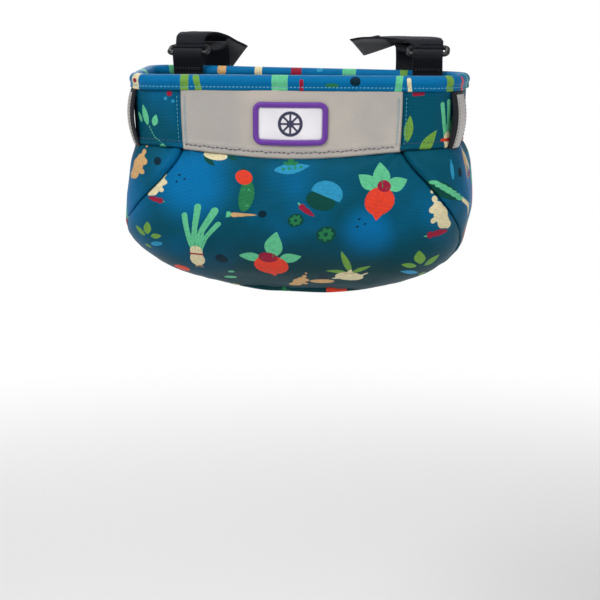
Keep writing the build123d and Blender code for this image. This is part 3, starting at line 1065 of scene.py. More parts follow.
def ginger(at: Spot, size: float = 1.0, flip: float = 1.0, ink: Ink = Ink.CREAM, pepper: bool = True) -> list[Mark]:
    """A knobbly ginger root, with or without a red pepper below it."""
    k, f = size, flip * size
    knobs = [
        (0, 0, 6.0), (3.4, -6.5, 5.2), (-3.5, 5.5, 4.4), (-7.8, 3.6, 2.7),
        (-6.6, 12, 2.4), (-8.8, 17.5, 1.4), (-5.8, -5.0, 2.2), (8.2, -9.0, 3.2),
    ]
    marks = [Mark(ink, lump([(at[0] + f * x, at[1] + k * y, k * r) for x, y, r in knobs]))]
    furrows = (
        (-2, -6.5, 6, -3.5),
        (0, -10, 7.2, -7.5),
        (-6.4, 2.4, 0.5, 4.4),
        (-5.6, 8.5, -1.8, 9.4),
        (-3.4, -1.5, 3.8, 1.0),
    )
    for x0, y0, x1, y1 in furrows:
        marks.append(Mark(Ink.TAN, stroke([moved(at, x0 * f, y0 * k), moved(at, x1 * f, y1 * k)], [0.35, 0.2])))
    if pepper:
        marks += chilli(moved(at, -8 * f, -17 * k), 20 * k, 14 if flip > 0 else 166, -0.08 * flip)
    return marks


def sprig(at: Spot, size: float = 1.0, ink: Ink = Ink.OLIVE, flip: float = 1.0) -> list[Mark]:
    """Three leaves and a berry around one point."""
    k = size
    marks = veined(moved(at, 0, 1.5 * k), 13.5 * k, 9.0 * k, 92, ink)
    marks += veined(moved(at, 3 * k * flip, -0.5 * k), 17.5 * k, 5.2 * k, 90 - flip * 58, ink, 0.05 * flip)
    marks += veined(moved(at, -3 * k * flip, -0.5 * k), 12.5 * k, 5.4 * k, 90 + flip * 78, ink, 0.05 * flip)
    marks.append(Mark(Ink.LIGHT_BLUE, leaf(moved(at, -1 * k * flip, -9 * k), 16 * k, 5 * k, 90 + flip * 80)))
    marks.append(Mark(ink, oval(moved(at, 3.5 * k * flip, -12 * k), 4.2 * k, 1.7 * k, 20 * flip)))
    return marks


def slice_round(at: Spot, size: float = 1.0) -> list[Mark]:
    """A round slice with dark rind and pale segments."""
    radius = 7.6 * size
    marks = [Mark(Ink.DARK_GREEN, oval(at, radius, radius * 0.94))]
    for k in range(7):
        a = 360 / 7 * k + 8
        start = moved(at, 1.5 * size * math.cos(math.radians(a)), 1.5 * size * math.sin(math.radians(a)))
        marks.append(Mark(Ink.GREEN, leaf(start, radius * 0.66, radius * 0.44, a)))
    return marks


def pod(at: Spot, size: float = 1.0, turn: float = 8.0) -> list[Mark]:
    """A pale-blue bean pod with a small shoot over it."""
    k = size
    marks = [Mark(Ink.LIGHT_BLUE, leaf(moved(at, -14.5 * k, -2.4 * k), 29 * k, 8.6 * k, turn, 0.02))]
    c, s = math.cos(math.radians(turn)), math.sin(math.radians(turn))
    for way in (-7, -2.4, 2.2, 6.8):
        marks.append(Mark(Ink.VEIN, oval(moved(at, way * c * k, way * s * k), 1.5 * k, 1.2 * k)))
    marks += veined(moved(at, -1 * k, 2.6 * k), 8.5 * k, 4.4 * k, 84, Ink.GREEN)
    marks += veined(moved(at, -1 * k, 2.4 * k), 7.5 * k, 3.2 * k, 24, Ink.GREEN)
    marks += veined(moved(at, -1 * k, 2.4 * k), 7.0 * k, 3.0 * k, 158, Ink.GREEN)
    return marks


def cabbage(at: Spot, size: float = 1.0) -> list[Mark]:
    """A pale-blue cabbage half on its dark outer leaves."""
    k = size
    heart = moved(at, 0.6 * k, -1.0 * k)
    marks = [
        Mark(Ink.DARK_GREEN, oval(moved(at, -4.5 * k, -5.4 * k), 11.5 * k, 7.6 * k, -20)),
        Mark(Ink.LIGHT_BLUE, cut(oval(at, 12.2 * k, 10.4 * k, -16), moved(at, 0, -2.4 * k), -25)),
    ]
    for turn, length in ((28, 9.5), (58, 9.4), (88, 8.8), (118, 8.4), (146, 8.8)):
        c, s = math.cos(math.radians(turn)), math.sin(math.radians(turn))
        marks.append(Mark(Ink.DARK_GREEN, stroke([heart, moved(heart, length * c * k, length * s * k)], [0.45, 0.15])))
    return marks


def growing(kind: Vegetable, at: Spot, size: float = 1.0) -> list[Mark]:
    """The marks of one plant."""
    makers: dict[Vegetable, Callable[..., list[Mark]]] = {
        Vegetable.LEEK: leek,
        Vegetable.RADISH: radish,
        Vegetable.BEET: beet,
        Vegetable.CUCUMBER: cucumber,
        Vegetable.TURNIP: turnip,
        Vegetable.GINGER: ginger,
        Vegetable.SPRIG: sprig,
        Vegetable.SLICE: slice_round,
        Vegetable.POD: pod,
        Vegetable.CABBAGE: cabbage,
    }
    return makers[kind](at, size)


def scattered(x0: float, x1: float, y0: float, y1: float, seed: int, cell: float = 34.0) -> list[Mark]:
    """Plants spread over an area, one to a cell, with none beside its own kind."""
    rng = random.Random(seed)
    kinds = list(Vegetable)
    marks: list[Mark] = []
    columns, rows = max(1, round((x1 - x0) / cell)), max(1, round((y1 - y0) / cell))
    for row in range(rows):
        for column in range(columns):
            stagger = 0.5 if row % 2 else 0.0
            x = x0 + (column + 0.5 + stagger * 0.6) * (x1 - x0) / columns + rng.uniform(-3, 3)
            y = y0 + (row + 0.5) * (y1 - y0) / rows + rng.uniform(-3, 3)
            marks += growing(kinds[(3 * column + 7 * row + seed) % len(kinds)], (x, y), rng.uniform(0.7, 0.85))
    return marks


def ink_fields(marks: list[Mark]) -> dict[str, Callable[[Array], Array]]:
    """The distance field of every ink, by attribute name."""

    def field_of(ink: Ink) -> Callable[[Array], Array]:
        shapes = [m.shape for m in marks if m.ink is ink]

        def distance(p: Array) -> Array:
            best = np.full(len(p), 8.0)
            for shape in shapes:
                best = np.minimum(best, shape(p))
            return best

        return distance

    return {ink.attribute: field_of(ink) for ink in Ink}


# ---------------------------------------------------------------- the basket's shape


def outline(s: Array, half: Array, front: Array, back: Array, corner: Array) -> Array:
    """Points on a rounded rectangle by arc length from its front's middle.

    Args:
        s: Arc length, positive to the right.
        half: Half width.
        front: Y of the front.
        back: Y of the back.
        corner: Corner radius.

    Returns:
        X and Y, one row each.
    """
    way, side = np.abs(s), np.where(s < 0, -1.0, 1.0)
    flat, turn, deep = half - corner, corner * math.pi / 2, back - front - 2 * corner
    a1 = np.clip(way - flat, 0, turn) / corner
    a2 = np.clip(way - flat - turn - deep, 0, turn) / corner
    x = np.minimum(way, flat) + corner * np.sin(a1) - corner * (1 - np.cos(a2))
    x = x - np.maximum(way - flat - 2 * turn - deep, 0.0)
    y = front + corner * (1 - np.cos(a1)) + np.clip(way - flat - turn, 0, deep) + corner * np.sin(a2)
    return np.stack([side * x, y], axis=1)


@dataclass
class BasketShape:
    """The outer form: an upright band over a pouch that bulges, then closes along a short keel."""

    half: float
    front: float
    back: float
    corner: float
    top: float
    seam: float
    keel_z: float
    bow: float = 3.0
    dip: float = 8.0
    taper: float = 2.6
    tilt: float = 2.2
    skew: float = 1.6
    draw: float = 0.03
    lean: tuple[float, ...] = (0.0, 1.6, 2.4, 0.5, -2.0, -1.0, 0.0)
    levels: Array = field(init=False)
    knots: Array = field(init=False)
    table_q: Array = field(init=False)
    table_z: Array = field(init=False)
    table_v: Array = field(init=False)

    def __post_init__(self) -> None:
        """Work out the pouch's levels from the band's size."""
        deep = self.back - self.front
        rows = (
            # drop below the seam, wider, fuller in front, drawn in at the back, corner radius
            (0.0, -self.taper, -0.8, 0.4, self.corner),
            (10.0, 0.8, 6.0, 0.0, self.corner + 3),
            (26.0, 2.8, 9.6, 0.0, self.corner + 8),
            (52.0, 4.6, 11.0, 0.0, self.corner + 15),
            (78.0, 0.0, 5.5, 1.5, self.corner + 18),
            (95.0, -16.0, -5.0, 6.5, self.corner + 16),
            (106.5, -39.0, -19.5, 15.5, self.corner + 7),
            (114.5, -66.0, -33.5, 26.5, self.corner - 2),
            (self.seam - self.keel_z, -92.5, -deep / 2 + 17.0, deep / 2 - 17.0, 16.5),
            (self.seam - self.keel_z + 0.4, -101.0, -deep / 2 + 0.6, deep / 2 - 0.6, 0.5),
        )
        drop, wide, full, drawn, corner = (np.array(column) for column in zip(*rows))
        self.levels = np.stack(
            [self.seam - drop, self.half + wide, self.front - full, self.back - drawn, corner]
        )
        z, half, front = self.levels[0], self.levels[1], self.levels[2]
        steps = np.sqrt(np.diff(z) ** 2 + np.diff(half) ** 2 * 0.5 + np.diff(front) ** 2)
        self.knots = np.concatenate([[0.0], np.cumsum(steps)]) / np.sum(steps)
        self.table_q = np.linspace(0.0, 1.0, 800)
        level = self.level(self.table_q)
        self.table_z = level[0]
        run = np.hypot(np.diff(level[0]), np.diff(level[2]))
        self.table_v = np.concatenate([[0.0], np.cumsum(run)])

    def level(self, q: Array) -> Array:
        """Height, half width, front, back and corner radius at shares q of the way down."""
        return np.stack([hermite(q, self.knots, row) for row in self.levels])

    def q_at(self, z: Array | float) -> Array:
        """The share of the way down at a height."""
        order = np.argsort(self.table_z)
        return np.interp(z, self.table_z[order], self.table_q[order])

    def fall(self, q: Array) -> Array:
        """Arc length down the front, in millimetres."""
        return np.interp(q, self.table_q, self.table_v)

    def arc_at(self, x: Array, q: Array) -> Array:
        """Arc length from the front's middle to where the outline has a given x."""
        _, half, _, _, corner = self.level(q)
        flat = half - corner
        turn = np.arcsin(np.clip((np.abs(x) - flat) / corner, 0, 1))
        return np.sign(x) * (np.minimum(np.abs(x), flat) + corner * turn)

    def around(self, q: Array) -> Array:
        """Half of the way around at each level."""
        _, half, front, back, corner = self.level(q)
        return 2 * (half - corner) + math.pi * corner + (back - front - 2 * corner)

    def sag(self, x: Array) -> Array:
        """How far the front's middle hangs lower and stands out, as a share."""
        return np.cos(np.clip(x / self.half, -1, 1) * math.pi / 2) ** 2

    def hang(self, points: Array, slack: Array) -> Array:
        """Let the front belly out and hang lower in its middle, and the whole mouth hang a little askew.

        Args:
            points: Points in millimetres.
            slack: Share of the full belly and dip at each point.

        Returns:
            The moved points.
        """
        x, y, z = points.T
        depth = np.clip((self.back - y) / (self.back - self.front), 0, 1)
        give = ease(depth) * self.sag(x) * slack
        askew = self.tilt * (1 - ease(depth)) * x / self.half
        askew = askew + self.skew * (x / self.half) * np.clip((self.seam - z) / 60, 0, 1)
        return np.stack([self.drawn_in(x, y, z), y - self.bow * give, z - self.dip * give - askew], axis=1)

    def drawn_in(self, x: Array, y: Array, z: Array) -> Array:
        """X where the front's corners stand closer together than the back's, and the pouch leans a little."""
        depth = ease(np.clip((self.back - y) / (self.back - self.front), 0, 1))
        below = self.seam - z
        aside = hermite(np.clip(below, 0, 112), np.array([0, 12, 30, 48, 66, 90, 112.0]), np.array(self.lean))
        return x * (1 - self.draw * depth * (1 - ease(below / 45))) + aside

    def pouch(self, s: Array, q: Array) -> Array:
        """Points on the pouch by arc length and share of the way down."""
        z, half, front, back, corner = self.level(q)
        xy = outline(s, half, front, back, corner)
        return self.hang(np.column_stack([xy, z]), ease(1 - q * 1.6))

    def band(self, s: Array, z: Array) -> Array:
        """Points on the band by arc length and height."""
        xy = outline(s, *(np.full_like(s, k) for k in (self.half, self.front, self.back, self.corner)))
        low = np.clip((self.top - z) / (self.top - self.seam), 0, 1.1)
        drawn = 1 - self.taper / self.half * low**2
        return self.hang(np.column_stack([xy[:, 0] * drawn, xy[:, 1], z]), low)

    def spot(self, x: float, z: float) -> Spot:
        """Cloth coordinates of a place on the pouch, as it looks from in front and slightly above."""
        z = z + 7.0 - 3.0 * min(max((-z - 100) / 60, 0.0), 1.0)
        q = self.q_at(np.array([z]))
        s = self.arc_at(np.array([x]), q)
        first = s.copy()
        for _ in range(8):
            place = self.pouch(s, q)
            s = np.clip(s + 0.8 * (x - place[:, 0]), first - 7, first + 7)
            q = np.clip(q + 0.7 * (place[:, 2] - z) / 135.0, 0.0, 0.97)
        return float(s[0]), -float(self.fall(q)[0])

    @property
    def band_around(self) -> float:
        """Half of the way around the band."""
        return 2 * (self.half - self.corner) + math.pi * self.corner + (self.back - self.front - 2 * self.corner)


@dataclass(frozen=True)
class SeamLine:
    """A seam down the pouch: how far out it runs at each height."""

    heights: tuple[float, ...]
    widths: tuple[float, ...]

    def arc(self, shape: BasketShape, q: Array) -> Array:
        """Arc length of the seam from the front's middle at shares q of the way down."""
        z = shape.level(q)[0]
        knots = -np.array(self.heights)
        x = hermite(np.clip(-z, knots[0], knots[-1]), knots, np.array(self.widths))
        return shape.arc_at(x, q)


FRONT_SEAM = SeamLine(
    (-57.8, -70, -83, -96, -108, -119, -134, -149, -160, -172.5),
    (85, 92, 102, 113, 122.5, 129, 129, 117, 99, 61),
)
BACK_SEAM = SeamLine((-57.8, -95, -122, -143, -158, -172.5), (88, 100, 98, 86, 66, 44))


def to_edges(u: Array, v: Array, wide: Array | float, tall: float) -> tuple[Array, Array]:
    """Distance to the nearer side edge and to the nearer end edge, in millimetres."""
    return np.minimum(u, 1 - u) * wide, np.minimum(v, 1 - v) * tall


@dataclass
class Body:
    """The sewn body of the basket: the pouch's panels and its base."""

    shape: BasketShape
    weaves: Weaves
    cloth: bpy.types.Material
    cell: float = 1.05
    base_z: float = -172.5
    allowance: float = 2.6
    turn_in: float = 3.2

    def tuck(self, gap: Array) -> Array:
        """How far the cloth turns in as it comes to a seam."""
        near = np.clip(1 - gap / self.turn_in, 0, 1)
        return -self.allowance * (1 - np.sqrt(np.maximum(1 - near**2, 0.0)))

    def panel(
        self,
        name: str,
        start: Callable[[Array], Array],
        end: Callable[[Array], Array],
        marks: list[Mark],
        relief: Relief,
        nodes: tuple[str, ...],
        shift: Callable[[Array], Array] = lambda q: 0 * q,
    ) -> bpy.types.Object:
        """One pouch panel between two seams, from the band down to the base.

        Args:
            name: The piece's name.
            start: Arc length of its left edge at shares q.
            end: Arc length of its right edge.
            marks: Its print.
            relief: Outward millimetres over the panel, besides the turned-in edges.
            nodes: The CAD nodes that it stands for.
            shift: How far its print moves along at shares q.

        Returns:
            The panel.
        """
        shape = self.shape
        q_end = float(shape.q_at(self.base_z))

        def place(u: Array, v: Array) -> tuple[Array, Array]:
            q = v * q_end
            return start(q) + u * (end(q) - start(q)), q

        def bare(u: Array, v: Array) -> Array:
            return shape.pouch(*place(u, np.clip(v, 0, 1)))

        tall = float(shape.fall(np.array(q_end)))
        middle = np.array([0.5 * q_end])
        wide = float((end(middle) - start(middle))[0])

        def full(u: Array, v: Array) -> Array:
            q = v * q_end
            side, rows = to_edges(u, v, end(q) - start(q), tall)
            return relief(u, v) + self.tuck(side) + self.tuck(rows)

        def cloth(u: Array, v: Array) -> Array:
            s, q = place(u, v)
            return np.stack([s - shift(q), -shape.fall(q)], axis=1)

        columns, rows = round(wide / self.cell), round(tall / self.cell)
        piece = grid_piece(name, columns, rows, raised(bare, full), cloth, ink_fields(marks))
        thicken(piece, 0.9)
        dress(piece, self.cloth)
        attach(piece, "bag")
        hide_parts(*nodes)
        levels = np.linspace(0, q_end, 60)
        widest = float(np.max(end(levels) - start(levels)))
        return piece

    def front(self) -> bpy.types.Object:
        """The full front panel with the largest plants."""
        spot = self.shape.spot
        marks = leek(spot(-72.7, -150)) + radish(spot(68, -104), 1.02) + beet(spot(-15.5, -154.0), 1.08)
        marks += cucumber(spot(-32.5, -101.5)) + turnip(spot(43.5, -163)) + pod(spot(2, -81))
        marks += cabbage(spot(28.5, -99.5)) + slice_round(spot(5.1, -118.6), 0.8)
        marks += slice_round(spot(27.9, -128.6)) + ginger(spot(113.5, -113), 0.95)
        marks += ginger(spot(-101, -95), 0.72, -1.0) + sprig(spot(98, -152), 1.0)
        marks += sprig(spot(-110, -133), 0.8, flip=-1.0)
        marks += [
            Mark(Ink.CREAM, oval(spot(-57, -72.5), 9.5, 4.6)),
            Mark(Ink.DARK_GREEN, leaf(spot(-66, -73), 12, 5, -40)),
            Mark(Ink.DARK_GREEN, leaf(spot(-48, -73), 9, 4, -20)),
            Mark(Ink.RED, oval(spot(-87, -159), 7.0, 4.6, -12)),
            Mark(Ink.LEAF, oval(spot(-48, -161), 2.6, 1.6)),
            Mark(Ink.LEAF, oval(spot(-50, -167), 5.0, 2.2)),
            Mark(Ink.NAVY, oval(spot(23.5, -163), 3.6, 4.2)),
            Mark(Ink.NAVY, lump([(*spot(-54, -148.5), 4.2), (*spot(-52, -150), 3.4)])),
        ]
        marks += chilli(spot(9, -108), 16, -46)
        marks += ginger(moved(spot(4, -169), 0, 2), 0.8, -1.0, Ink.TAN, pepper=False)
        marks.append(Mark(Ink.TAN, oval(moved(spot(22, -168), 0, 1), 9.5, 3.4)))
        for x, z in ((53, -117), (57, -120.5), (51.5, -122.5), (-84, -87), (-80, -90), (-86, -92)):
            marks.append(Mark(Ink.NAVY, oval(spot(x, z), 1.3, 0.8, 25)))

        shape = self.shape
        q_end = float(shape.q_at(self.base_z))

        def relief(u: Array, v: Array) -> Array:
            q = v * q_end
            s = (2 * u - 1) * FRONT_SEAM.arc(shape, q)
            d = shape.fall(q)
            side, rows = to_edges(u, v, 2 * FRONT_SEAM.arc(shape, q), float(shape.fall(np.array(q_end))))
            swell = 1.4 * (1 - np.exp(-side / 16)) - 1.0
            lumps = 1.1 * waves(s, d, 62, 3) * ease(d / 20)
            gather = 0.8 * waves(s, 0.35 * d, 15, 8) * np.exp(-rows / 9) * ease(rows / 2)
            pucker = 0.65 * waves(d, 0.6 * s, 11, 21) * np.exp(-side / 9) * ease(side / 2)
            creases = np.zeros_like(s)
            for x, sign in ((-84.0, -1.0), (84.0, 1.0)):
                reach = np.hypot(s - x, d)
                angle = np.degrees(np.arctan2(d, -sign * (s - x)))
                for way, depth, width, length in ((24, 1.5, 7, 34), (52, -1.3, 8, 26), (78, 1.1, 9, 30)):
                    fold = np.exp(-(((angle - way) / width) ** 2)) * ease(reach / 8) * np.exp(-reach / length)
                    creases += depth * fold
            return swell + lumps + gather + pucker + creases

        return self.panel(
            "Front_panel",
            lambda q: -FRONT_SEAM.arc(shape, q),
            lambda q: FRONT_SEAM.arc(shape, q),
            marks,
            relief,
            ("front_panel",),
        )

    def gusset(self, side: str) -> bpy.types.Object:
        """A side panel, from the front seam round to the back seam."""
        shape, sign = self.shape, SIDES[side]
        q_end = float(shape.q_at(self.base_z))

        def near(q: Array) -> Array:
            return FRONT_SEAM.arc(shape, q)

        def far(q: Array) -> Array:
            x = BACK_SEAM.arc(shape, q)
            return shape.around(q) - x

        seed = 11 if sign < 0 else 14
        if sign < 0:
            marks = ginger(shape.spot(-117, -81), 0.95, -1.0, Ink.TAN, pepper=False)
            marks.append(Mark(Ink.NAVY, oval(shape.spot(-101, -77), 3.0, 3.6)))
            marks += sprig(moved(shape.spot(-133, -118), -6, 0), 0.9)
        else:
            marks = ginger(moved(shape.spot(131, -80), 4, 0), 0.95, -1.0, Ink.TAN, pepper=False)
            marks.append(Mark(Ink.LIGHT_BLUE, leaf(shape.spot(122, -90), 17, 3.2, 92)))
            marks.append(Mark(Ink.NAVY, oval(shape.spot(126, -84), 2.4, 3.6)))
            base, tip = shape.spot(101, -89), shape.spot(131, -108)
            turn = math.degrees(math.atan2(tip[1] - base[1], tip[0] - base[0]))
            marks.append(Mark(Ink.DARK_GREEN, leaf(base, 36, 11, turn)))
            for k in range(6):
                root = moved(base, 4.5 * k + 2, -2.6 * k - 1)
                marks.append(Mark(Ink.LEAF, leaf(root, 11, 3.0, turn + 24)))
            line = [moved(tip, -6, 4), moved(tip, 4, -1), moved(tip, 8, -9)]
            marks.append(Mark(Ink.CREAM, stroke(line, [1.4, 1.6, 0.6])))
        marks += scattered(sign * 176 - 34, sign * 176 + 34, -118, 4, seed)

        def relief(u: Array, v: Array) -> Array:
            q = v * q_end
            wide = far(q) - near(q)
            across, rows = to_edges(u, v, wide, float(shape.fall(np.array(q_end))))
            s, d = u * wide, shape.fall(q)
            swell = 1.6 * (1 - np.exp(-across / 14)) - 0.8
            gather = 1.0 * waves(s, 0.3 * d, 14, seed) * np.exp(-rows / 10) * ease(rows / 2)
            pucker = 0.8 * waves(d, 0.5 * s, 12, seed + 3) * np.exp(-across / 10) * ease(across / 2)
            front_way = u if sign > 0 else 1 - u
            ridge = 2.2 * np.exp(-(((front_way * wide - 5.5) / 3.6) ** 2)) * np.exp(-(((d - 17) / 17) ** 2))
            return swell + gather + pucker + ridge + 1.2 * waves(s, d, 48, seed + 5) * ease(d / 18)

        start, end = (near, far) if sign > 0 else (lambda q: -far(q), lambda q: -near(q))
        return self.panel(f"{side.capitalize()}_gusset", start, end, marks, relief, (f"{side}_gusset",))

    def back(self) -> bpy.types.Object:
        """The back panel below the band."""
        shape = self.shape
        q_end = float(shape.q_at(self.base_z))

        def start(q: Array) -> Array:
            return shape.around(q) - BACK_SEAM.arc(shape, q)

        def end(q: Array) -> Array:
            return shape.around(q) + BACK_SEAM.arc(shape, q)

        middle = shape.band_around
        marks = scattered(middle - 102, middle + 102, -112, 8, 5, 38)

        def relief(u: Array, v: Array) -> Array:
            q = v * q_end
            s, d = start(q) + u * (end(q) - start(q)), shape.fall(q)
            side, rows = to_edges(u, v, end(q) - start(q), float(shape.fall(np.array(q_end))))
            pucker = 0.5 * waves(d, 0.6 * s, 12, 31) * np.exp(-side / 9) * ease(side / 2)
            return 1.2 * (1 - np.exp(-side / 14)) - 1.2 + 0.8 * waves(s, d, 55, 33) * ease(rows / 14) + pucker

        def own_middle(q: Array) -> Array:
            return shape.around(q) - shape.band_around

        return self.panel("Back_panel", start, end, marks, relief, ("back_panel",), own_middle)

    def keel(self) -> bpy.types.Object:
        """The base panel that closes the pouch."""
        shape = self.shape
        q_from = float(shape.q_at(self.base_z))

        def bare(u: Array, v: Array) -> Array:
            q = q_from + np.clip(v, 0, 1) * (1 - q_from)
            return shape.pouch((2 * u - 1) * shape.around(q), q)

        def relief(u: Array, v: Array) -> Array:
            return self.tuck(v * 46.0) + 0.25 * waves(u * 300, v * 40, 40, 4) * ease(v * 4) * (1 - v)

        def cloth(u: Array, v: Array) -> Array:
            return bare(u, v)[:, :2] * np.array([1.0, -1.0])

        marks = scattered(-80, 80, 40, 108, 8, 38)
        piece = grid_piece("Bottom_panel", 300, 44, raised(bare, relief), cloth, ink_fields(marks), closed=True)
        thicken(piece, 0.9)
        dress(piece, self.cloth)
        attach(piece, "bag")
        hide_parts("bottom_panel")
        return piece


@dataclass
class Band:
    """The upright upper wall: printed sides and back, the coated strip in front, and their stitches."""

    shape: BasketShape
    cloth: bpy.types.Material
    coated: bpy.types.Material
    teal_thread: bpy.types.Material
    navy_thread: bpy.types.Material
    top: float = -13.0
    strip_half: float = 86.4
    back_half: float = 94.0
    hem_over: float = 1.1
    cell: float = 1.05

    def wall(self, s0: float, s1: float, z0: float, z1: float) -> Surface:
        """A patch of the band between two arc lengths and two heights."""
        return lambda u, v: self.shape.band(s0 + u * (s1 - s0), z0 + v * (z1 - z0))

    def flat(self, s0: float, s1: float, z0: float, z1: float) -> Surface:
        """Its flat cloth coordinates."""
        return lambda u, v: np.stack([s0 + u * (s1 - s0), z0 + v * (z1 - z0) - self.shape.seam], axis=1)

    def piece(
        self, name: str, span: tuple[float, float, float, float], relief: Relief,
        marks: list[Mark] | None, material: bpy.types.Material, slot: str, node: str,
    ) -> bpy.types.Object:
        """One piece of the band.

        Args:
            name: The piece's name.
            span: Arc lengths of its left and right edges, then its top and bottom heights.
            relief: Outward millimetres at shares across and down.
            marks: Its print, if it has one.
            material: Its material.
            slot: Not used.
            node: The CAD node that it stands for.

        Returns:
            The new object.
        """
        columns, rows = round((span[1] - span[0]) / self.cell), round((span[2] - span[3]) / self.cell)
        fields = ink_fields(marks) if marks is not None else None
        made = grid_piece(name, columns, rows, raised(self.wall(*span), relief), self.flat(*span), fields)
        thicken(made, 0.8)
        dress(made, material)
        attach(made, "bag")
        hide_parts(node)
        return made

    def hem(self, gap: Array, fold: float = 9.0) -> Array:
        """A folded hem: a little thicker up to its stitch, with a round edge."""
        rounded = np.sqrt(np.maximum(1 - np.clip(1 - gap / 1.2, 0, 1) ** 2, 0.0)) - 1
        return 0.35 * ease((fold - gap) / 1.5) + 0.8 * rounded

    def side(self, side: str) -> bpy.types.Object:
        """The printed wall from the strip round the side to the back panel."""
        sign = SIDES[side]
        near, far = self.strip_half - 1.5, self.shape.band_around - self.back_half
        ends = (near, far) if sign > 0 else (-far, -near)
        span = (*ends, self.top, self.shape.seam - 0.8)

        def relief(u: Array, v: Array) -> Array:
            gap = (1 - v) * (self.top - self.shape.seam)
            s = u * (far - near)
            front = s if sign > 0 else (far - near) - s
            quilt = -0.55 * np.exp(-((gap - 5.0) / 1.1) ** 2) - 0.4 * np.exp(-((front - 4.5) / 0.9) ** 2)
            pucker = 0.35 * waves(s, gap * 0.3, 7, 40) * np.exp(-((gap - 5) / 5) ** 2)
            ripple = 0.6 * waves(s, gap, 45, 17) * ease(gap / 15)
            return self.hem(gap, 7.0) + quilt + pucker + ripple + self.hem_over * ease(1 - gap / 7)

        at = self._spot
        if sign < 0:
            marks = [
                Mark(Ink.LEAF, leaf(at(-111, -44), 17, 5.8, 104)),
                Mark(Ink.LEAF, leaf(at(-116, -42), 10, 3.8, 118)),
                Mark(Ink.LEAF, leaf(at(-106, -44), 9.5, 5.2, 72)),
                Mark(Ink.LEAF, stroke([at(-110, -44), at(-106, -52), at(-99, -57)], [0.5, 0.45, 0.3])),
                Mark(Ink.LEAF, oval(at(-99.5, -59), 3.0, 1.9, -20)),
                Mark(Ink.CRIMSON, oval(at(-92.6, -19.5), 2.2, 2.0)),
                Mark(Ink.LIGHT_BLUE, oval(at(-95.6, -23.0), 1.5, 1.2)),
                Mark(Ink.LIGHT_BLUE, oval(at(-90.0, -25.0), 1.4, 1.2)),
                Mark(Ink.CRIMSON, leaf(at(-101, -60), 10, 3.4, -30)),
                Mark(Ink.LEAF, oval(at(-109, -66), 3.4, 2.0)),
            ]
        else:
            marks = veined(at(88.5, -53), 20, 7.2, 86, Ink.OLIVE) + veined(at(98.5, -63), 22, 8.4, 56, Ink.OLIVE)
            marks += [
                Mark(Ink.CRIMSON, stroke([at(92, -18.6), at(99, -18.2)], [1.4, 1.2])),
                Mark(Ink.OLIVE, oval(at(91, -61), 3.2, 1.8, 40)),
                Mark(Ink.LEAF, stroke([at(113, -26), at(115.0, -40), at(116.8, -50)], [1.7, 1.6, 1.5])),
                Mark(Ink.LEAF, stroke([at(117.5, -24), at(118.4, -40), at(118.6, -50)], [1.7, 1.6, 1.5])),
                Mark(Ink.LEAF, stroke([at(123, -28), at(121.0, -40), at(120.4, -50)], [1.7, 1.6, 1.5])),
                Mark(Ink.VEIN, stroke([at(117.5, -26), at(118.4, -50)], [0.3, 0.1])),
                Mark(Ink.CREAM, stroke([at(118.4, -50), at(118.4, -58)], [3.4, 2.6])),
                Mark(Ink.RED, stroke([at(114.4, -52.6), at(122.2, -52.6)], [1.1, 1.1])),
                Mark(Ink.TAN, leaf(at(108, -66), 12, 5, 20)),
            ]
        middle = sign * (self.shape.band_around * 0.5 + 42)
        marks += scattered(middle - 62, middle + 62, 2, 56, 21 + int(sign), 34)
        return self.piece(
            f"{side.capitalize()}_band", span, relief, marks, self.cloth, "printed_fabric", f"{side}_band"
        )

    def _spot(self, x: float, z: float) -> Spot:
        """Cloth coordinates of a place on the band seen from the front."""
        x = x / (1 - self.shape.draw)
        flat = self.shape.half - self.shape.corner
        over = math.asin(min(1.0, max(0.0, (abs(x) - flat) / self.shape.corner)))
        return math.copysign(min(abs(x), flat) + self.shape.corner * over, x), z - self.shape.seam

    def back(self) -> bpy.types.Object:
        """The top of the back panel, between the side walls."""
        middle, half = self.shape.band_around, self.back_half + 1.5
        marks = scattered(middle - 92, middle + 92, 2, 58, 12, 36)
        span = (middle - half, middle + half, self.top, self.shape.seam - 0.5)

        def relief(u: Array, v: Array) -> Array:
            side, rows = to_edges(u, v, 2 * half, self.top - self.shape.seam)
            s, d = u * 2 * half, v * (self.top - self.shape.seam)
            return 0.3 * waves(s, d, 50, 61) * ease(rows / 8) - 0.5 + 0.6 * ease(side / 4)

        return self.piece("Back_band", span, relief, marks, self.cloth, "printed_fabric", "back_panel")

    def strip(self) -> bpy.types.Object:
        """The wide coated strip, folded over along its lower edge."""
        half = self.strip_half
        span = (-half, half, self.top - 1.0, self.shape.seam - 1.6)

        def relief(u: Array, v: Array) -> Array:
            tall = span[2] - span[3]
            gap, side = (1 - v) * tall, np.minimum(u, 1 - u) * 2 * half
            s = (u - 0.5) * 2 * half
            rounded = 0.6 * (np.sqrt(np.maximum(1 - np.clip(1 - side / 0.8, 0, 1) ** 2, 0.0)) - 1)
            quilt = -0.45 * np.exp(-((gap - 4.0) / 0.9) ** 2) - 0.3 * np.exp(-((side - 3.0) / 0.8) ** 2)
            swell = 0.7 * waves(s, gap, 70, 15) * ease(gap / 20)
            swell = swell + 0.25 * waves(s, gap * 0.2, 9, 16) * np.exp(-((gap - 6) / 6) ** 2)
            return 1.5 + self.hem(gap, 8.0) + rounded + quilt + swell

        return self.piece("Reflective_strip", span, relief, None, self.coated, "reflective_fabric", "reflective_strip")

